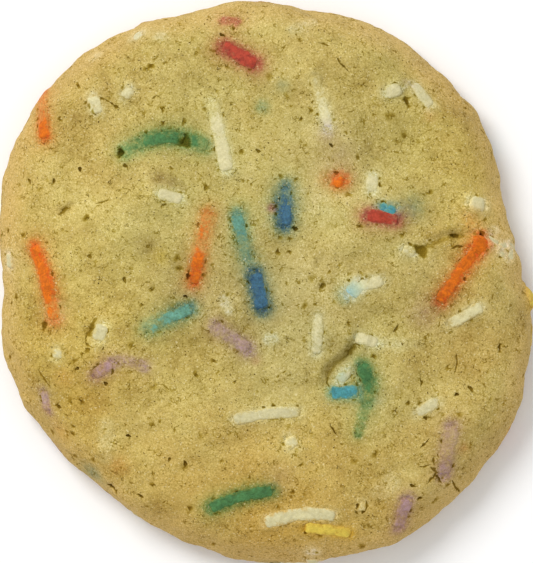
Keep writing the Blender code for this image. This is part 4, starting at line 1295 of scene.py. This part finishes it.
class Look:
    """One material and its nodes. A value is a number, a colour or another node's socket."""

    def __init__(self, name, roughness, specular):
        self.material = bpy.data.materials.new(name)
        self.material.use_nodes = True
        self.tree = self.material.node_tree
        self.shader = self.tree.nodes["Principled BSDF"]
        self.shader.inputs["Roughness"].default_value = roughness
        self.shader.inputs["Specular IOR Level"].default_value = specular
        self.place = self.place_in_mm((0, 0, 0))

    def node(self, kind, values=(), **settings):
        made = self.tree.nodes.new(kind)
        for name, setting in settings.items():
            setattr(made, name, setting)
        for key, value in dict(values).items():
            if isinstance(value, bpy.types.NodeSocket):
                self.tree.links.new(value, made.inputs[key])
            else:
                made.inputs[key].default_value = value
        return made

    def shade(self, name, value):
        """Lead a value to the shader."""
        self.tree.links.new(value, self.shader.inputs[name])

    def calculate(self, operation, first, second=0.0):
        return self.node("ShaderNodeMath", {0: first, 1: second}, operation=operation).outputs[0]

    def add(self, first, second):
        return self.calculate("ADD", first, second)

    def subtract(self, first, second):
        return self.calculate("SUBTRACT", first, second)

    def times(self, first, second):
        return self.calculate("MULTIPLY", first, second)

    def scaled(self, vector, scale, shift):
        values = {0: vector, 1: scale, 2: shift}
        return self.node("ShaderNodeVectorMath", values, operation="MULTIPLY_ADD").outputs[0]

    def place_in_mm(self, shift):
        coordinates = self.node("ShaderNodeTexCoord").outputs["Object"]
        return self.scaled(coordinates, (1 / MM,) * 3, shift)

    def bent_place(self, size, detail, amount):
        """The place in millimetres, moved about by noise."""
        values = {"Vector": self.place, "Scale": 1 / size, "Detail": detail}
        noise = self.node("ShaderNodeTexNoise", values).outputs["Color"]
        return self.scaled(noise, (amount,) * 3, self.place)

    def cells(self, place, size, feature):
        values = {"Vector": place, "Scale": 1 / size, "Randomness": 1.0}
        return self.node("ShaderNodeTexVoronoi", values, voronoi_dimensions="3D", feature=feature).outputs

    def noise(self, size, detail=2.0, roughness=0.5, distortion=0.0, shift=None):
        place = self.place_in_mm(shift) if shift else self.place
        values = {"Vector": place, "Scale": 1 / size, "Detail": detail, "Roughness": roughness}
        values["Distortion"] = distortion
        return self.node("ShaderNodeTexNoise", values).outputs["Fac"]

    def remap(self, value, low, high, start=0.0, end=1.0):
        values = {"Value": value, "From Min": low, "From Max": high, "To Min": start, "To Max": end}
        return self.node("ShaderNodeMapRange", values).outputs["Result"]

    def uneven(self, noise, limits, shift=None):
        """A noise with its range."""
        return self.remap(self.noise(*noise, shift=shift), *limits)

    def attribute(self, name, output="Fac"):
        return self.node("ShaderNodeAttribute", attribute_name=name).outputs[output]

    def mixed(self, factor, first, second, kind="MIX"):
        first, second = ((*side, 1) if isinstance(side, tuple) else side for side in (first, second))
        values = {0: factor, 6: first, 7: second}
        return self.node("ShaderNodeMix", values, data_type="RGBA", blend_type=kind).outputs[2]

    def tones(self, value, stops):
        """A ramp of colours. The first and last stops are its ends."""
        made = self.node("ShaderNodeValToRGB", {"Fac": value})
        ends = made.color_ramp.elements
        for end, (place, colour) in zip(ends, (stops[0], stops[-1])):
            end.position = place
            end.color = (*colour, 1)
        for place, colour in stops[1:-1]:
            ends.new(place).color = (*colour, 1)
        return made.outputs["Color"]

    def filtered(self, colour, light):
        """The colour under light of another colour."""
        return self.mixed(1.0, colour, light, "MULTIPLY")

    def film(self, colour, share, strength):
        """The colour behind a film that leaves this share of each part of the light at full strength."""
        share = share if isinstance(share, bpy.types.NodeSocket) else (*share, 1)
        left = self.node("ShaderNodeGamma", {"Color": share, "Gamma": strength}).outputs[0]
        return self.filtered(colour, left)

    def dyed(self, colour, dye, strength):
        """The dough under a dye, which takes away its own share of each part of the light."""
        share = self.node("ShaderNodeVectorMath", {0: dye, 1: USUAL_TONE}, operation="DIVIDE").outputs[0]
        return self.film(colour, share, strength)

    def grained(self, colour, grain):
        """The colour with fine grain, which is 0 on average."""
        return self.filtered(colour, self.scaled(grain, GRAIN_SHARES, (1, 1, 1)))

    def bump(self, height, depth):
        """Relief of the given depth in millimetres."""
        values = {"Height": height, "Strength": 1.0, "Distance": depth * MM}
        self.shade("Normal", self.node("ShaderNodeBump", values).outputs["Normal"])


def dough_colour(look, dye, strength):
    """Baked dough: blotches, toasted and greenish areas, a browner rim, bled colour and grain."""
    blotches = look.noise(*BLOTCHES)
    value = look.add(look.remap(blotches, *BLOTCH_RANGE), look.uneven(*CRUMBS))
    value = look.add(value, look.attribute("pale_and_shade"))
    colour = look.tones(value, DOUGH_TONES)
    hue = look.add(look.uneven(*HUES), look.attribute("toast"))
    for end, tone in ((1.0, TOASTED), (-1.0, GREENISH)):
        colour = look.mixed(look.remap(hue, 0.0, end, 0.0, HUE_STRENGTH), colour, tone)
    gold = look.remap(look.attribute("gold"), -1.0, 1.0)
    colour = look.filtered(colour, look.tones(gold, GOLD_TONES))
    rim = look.add(look.attribute("rim"), look.remap(blotches, *RIM_PLAY))
    colour = look.mixed(look.remap(rim, *RIM_RANGE), colour, RIM_TONE)

    soaked = look.times(strength, look.uneven(*SOAKING))
    colour = look.dyed(colour, dye, soaked)
    coarse = look.uneven(*COARSENESS)
    return look.grained(colour, look.times(look.uneven(*GRAIN), coarse))


def specks(look, spacing, radius, absent):
    """Small pinholes, one at most in each cell of a random lattice: how dark their painted shade is, up to
    1 inside, 0 outside.
    """
    cells = look.cells(look.bent_place(*SPECK_BEND), spacing, "F1")
    draw = look.node("ShaderNodeSeparateColor", {"Color": cells["Color"]}).outputs
    reach = look.remap(draw["Red"], absent, 1.0, 0.0, radius / spacing)
    inside = look.subtract(reach, cells["Distance"])
    darkness = look.remap(draw["Green"], *SPECK_DARKNESS)
    return look.times(look.remap(inside, *SPECK_EDGE), darkness)


def crumb_gaps(look, size, opening, darkness):
    """Uneven gaps between crumbs, gathered in patches, and how dark their painted shade is. Each size has
    its own shifts.
    """
    field = look.noise(size, *GAP_SHAPE, shift=(23 * size, 8, 2))
    patches = look.uneven(*GAP_PATCHES, (3, 11, 37 * size))
    opened = look.subtract(look.subtract(field, opening), patches)
    depth = look.uneven(*GAP_DEPTHS, (19, 2 * size, 7))
    gap = look.times(look.remap(opened, *GAP_EDGE), depth)
    return look.times(gap, darkness)


# How dark the cracks between larger crumbs are, as painted shade
def crevices(look):
    cells = look.cells(look.bent_place(*CREVICE_BEND), CREVICE_SIZE, "DISTANCE_TO_EDGE")
    wall = look.remap(cells["Distance"], *CREVICE_EDGE)
    patches = look.uneven(*CREVICE_PATCHES)
    parts = look.uneven(*CREVICE_PARTS)
    wall = look.times(wall, look.times(patches, parts))
    return look.times(wall, CREVICE_DARKNESS)


# How dark the hair cracks are, as painted shade
def hair_cracks(look):
    line = look.calculate("ABSOLUTE", look.subtract(look.noise(*HAIR_CURVES), 0.5))
    parts = look.uneven(*HAIR_PARTS)
    line = look.times(look.remap(line, *HAIR_EDGE), parts)
    return look.times(line, HAIR_DARKNESS)


def dough_material():
    look = Look("Baked dough", roughness=0.82, specular=0.18)
    # The dye attribute holds bled colour, stains and the painted shade of the Shade patches
    dye = look.node("ShaderNodeAttribute", attribute_name="dye").outputs
    colour = dough_colour(look, dye["Color"], dye["Alpha"])
    base, browning = look.attribute("base"), look.noise(*BROWNING)
    for tone, play, limits in BROWN_AREAS:
        browned = look.add(base, look.remap(browning, *play))
        colour = look.mixed(look.remap(browned, *limits), colour, tone)
    # Pale sugar crystals, with a painted sparkle
    colour = look.mixed(look.uneven(*CRYSTAL_SPARKLES), colour, CRYSTAL_SPARKLE_TONE)

    # How dark the pores, cracks, pinholes, crumb gaps and hair cracks are: partly the browner dough inside
    # them, partly painted shade. It also lowers the bump.
    pit_shade = look.attribute("pit_shade")
    gaps = [crumb_gaps(look, *kind) for kind in CRUMB_GAPS]
    for hollow in (specks(look, *SPECKS), crevices(look), *gaps, hair_cracks(look)):
        pit_shade = look.calculate("MAXIMUM", pit_shade, hollow)
    look.shade("Base Color", look.film(colour, PORE_SHADE, pit_shade))

    rough = look.calculate("MAXIMUM", look.uneven(*SHEEN), look.remap(pit_shade, *PIT_SHEEN))
    look.shade("Roughness", rough)
    depth, lump_share, sand_share = DOUGH_BUMP
    lumps = look.times(look.noise(*SOFT_LUMPS), lump_share)
    sand = look.times(look.noise(*SAND), sand_share)
    look.bump(look.subtract(look.add(lumps, sand), pit_shade), depth)
    return look.material


def sprinkle_material(name):
    """Baked sugar, mottled and sandy, under a film of the dyed dough near its edges."""
    look = Look(name + " sprinkle", roughness=0.6, specular=0.15)
    sand, mottle, wander = look.noise(*SAND), look.noise(*MOTTLE), look.noise(*WANDER)
    dark, bright, grit = SUGAR_MOTTLE.get(name, USUAL_MOTTLE)
    shade = look.times(look.attribute("shade"), ROD_SHADE)
    light = look.add(look.remap(mottle, *MOTTLE_ENDS, dark, bright), shade)
    sugar = look.filtered(SPRINKLE_COLOURS[name], light)
    sugar = look.grained(sugar, look.remap(sand, *GRIT_ENDS, -grit, grit))

    bare = look.add(look.attribute("bare"), look.remap(wander, *WANDER_RANGE))
    if name not in PALE:
        bare = look.subtract(bare, look.uneven(*VEIL))
    dye = look.attribute("bled")
    if name in DARK_EDGES:
        away = look.calculate("ABSOLUTE", look.subtract(bare, DARK_EDGE_PLACE))
        edge = look.remap(away, *DARK_EDGE_RANGE)
        edge = look.times(edge, look.remap(wander, *DARK_EDGE_GAPS))
        dye = look.add(dye, look.times(edge, dye))
    film = dough_colour(look, DYES[name], dye)
    colour = look.mixed(look.remap(bare, *BARE_RANGE.get(name, USUAL_BARE_RANGE)), film, sugar)
    # Stains, and the painted shade of Shade patches, that reach the sprinkle
    stain_and_shade = look.node("ShaderNodeAttribute", attribute_name="stain_and_shade").outputs
    colour = look.dyed(colour, stain_and_shade["Color"], stain_and_shade["Alpha"])
    # Pores and cracks that cross the sprinkle darken it with painted shade, tinted as browner dough
    look.shade("Base Color", look.film(colour, PORE_SHADE, look.attribute("pit_shade")))
    look.shade("Roughness", look.remap(sand, *SUGAR_SHEEN))
    look.bump(look.add(sand, mottle), SUGAR_BUMP)
    return look.material


# ---- the set ----------------------------------------------------------------------------------

FLOOR_SIZE = 3000.0
FLOOR_LEVEL = -0.02
FLOOR_COLOURS = ((0.97, 0.97, 0.97), (0.95545, 0.95545, 0.95545))
FLOOR_NOISE = (30.0, 2.0)
SKY_STRENGTH = 0.69
# The lamp's size and all distances from here on are in metres, the power in watts
KEY_POWER = 4.8
KEY_SIZE = 0.45
KEY_DISTANCE = 0.9
KEY_DIRECTION = (-0.40, 0.48, 0.85)
PHOTO_SIZE = (533, 563)  # pixels
PIXEL = 0.1283  # millimetres on the cookie, at its widest
PHOTO_ORIGIN = (266.0, 280.5)  # the pixel of the dough's own origin
CAMERA_DISTANCE = 1.0
SENSOR = 36.0  # millimetres
CLIP_DISTANCES = (0.01, 10)


def floor_piece():
    half = FLOOR_SIZE / 2
    corners = np.array([(-half, -half, 0), (half, -half, 0), (half, half, 0), (-half, half, 0)])
    look = Look("Floor", roughness=0.9, specular=0.1)
    look.shade("Base Color", look.mixed(look.noise(*FLOOR_NOISE), *FLOOR_COLOURS))
    made = mesh_piece("floor", corners, [(0, 1, 2, 3)], look.material)
    made.location.z = FLOOR_LEVEL * MM


def add_light():
    world = bpy.data.worlds.new("Studio")
    world.use_nodes = True
    background = world.node_tree.nodes["Background"]
    background.inputs["Color"].default_value = (1.0, 1.0, 1.0, 1)
    background.inputs["Strength"].default_value = SKY_STRENGTH
    bpy.context.scene.world = world
    bpy.context.scene.view_settings.view_transform = "Standard"

    lamp = bpy.data.lights.new("Key", "AREA")
    lamp.shape = "DISK"
    lamp.size = KEY_SIZE
    lamp.energy = KEY_POWER
    key = bpy.data.objects.new("Key", lamp)
    direction = Vector(KEY_DIRECTION).normalized()
    key.location = direction * KEY_DISTANCE
    key.rotation_euler = direction.to_track_quat("Z", "Y").to_euler()
    bpy.context.scene.collection.objects.link(key)


def add_camera(shift):
    """A long lens straight above the cookie, which frames it as the photo does."""
    data = bpy.data.cameras.new("Camera")
    data.sensor_width = SENSOR
    data.lens = SENSOR * CAMERA_DISTANCE / (max(PHOTO_SIZE) * PIXEL * MM)
    data.clip_start, data.clip_end = CLIP_DISTANCES
    made = bpy.data.objects.new("Camera", data)
    x = (PHOTO_SIZE[0] / 2 - PHOTO_ORIGIN[0]) * PIXEL + shift[0]
    y = (PHOTO_ORIGIN[1] - PHOTO_SIZE[1] / 2) * PIXEL + shift[1]
    made.location = (x * MM, y * MM, CAMERA_DISTANCE + WAIST_HEIGHT * MM)
    bpy.context.scene.collection.objects.link(made)
    bpy.context.scene.camera = made


# ---- the cookie -------------------------------------------------------------------------------


def main():
    rods = all_rods()
    dough = dough_piece(rods)
    pieces = [(dough, "dough")]
    for colour in SPRINKLE_COLOURS:
        members = [(index, rod) for index, rod in enumerate(rods) if rod.colour == colour]
        pieces.append((sprinkle_piece(colour, members), colour.lower() + "_sprinkle"))

    # The cookie's middle goes where the solid's is
    spots = np.vstack([[corner.co[:2] for corner in piece.data.vertices] for piece, _slot in pieces])
    middle = (spots.min(axis=0) + spots.max(axis=0)) / 2 / MM
    low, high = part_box("cookie")
    shift = np.array(((low.x + high.x) / 2, (low.y + high.y) / 2)) / MM - middle
    for piece, slot in pieces:
        for corner in piece.data.vertices:
            corner.co.x += shift[0] * MM
            corner.co.y += shift[1] * MM
        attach(piece, "root")
    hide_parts("cookie")
    floor_piece()
    add_light()
    add_camera(shift)


main()
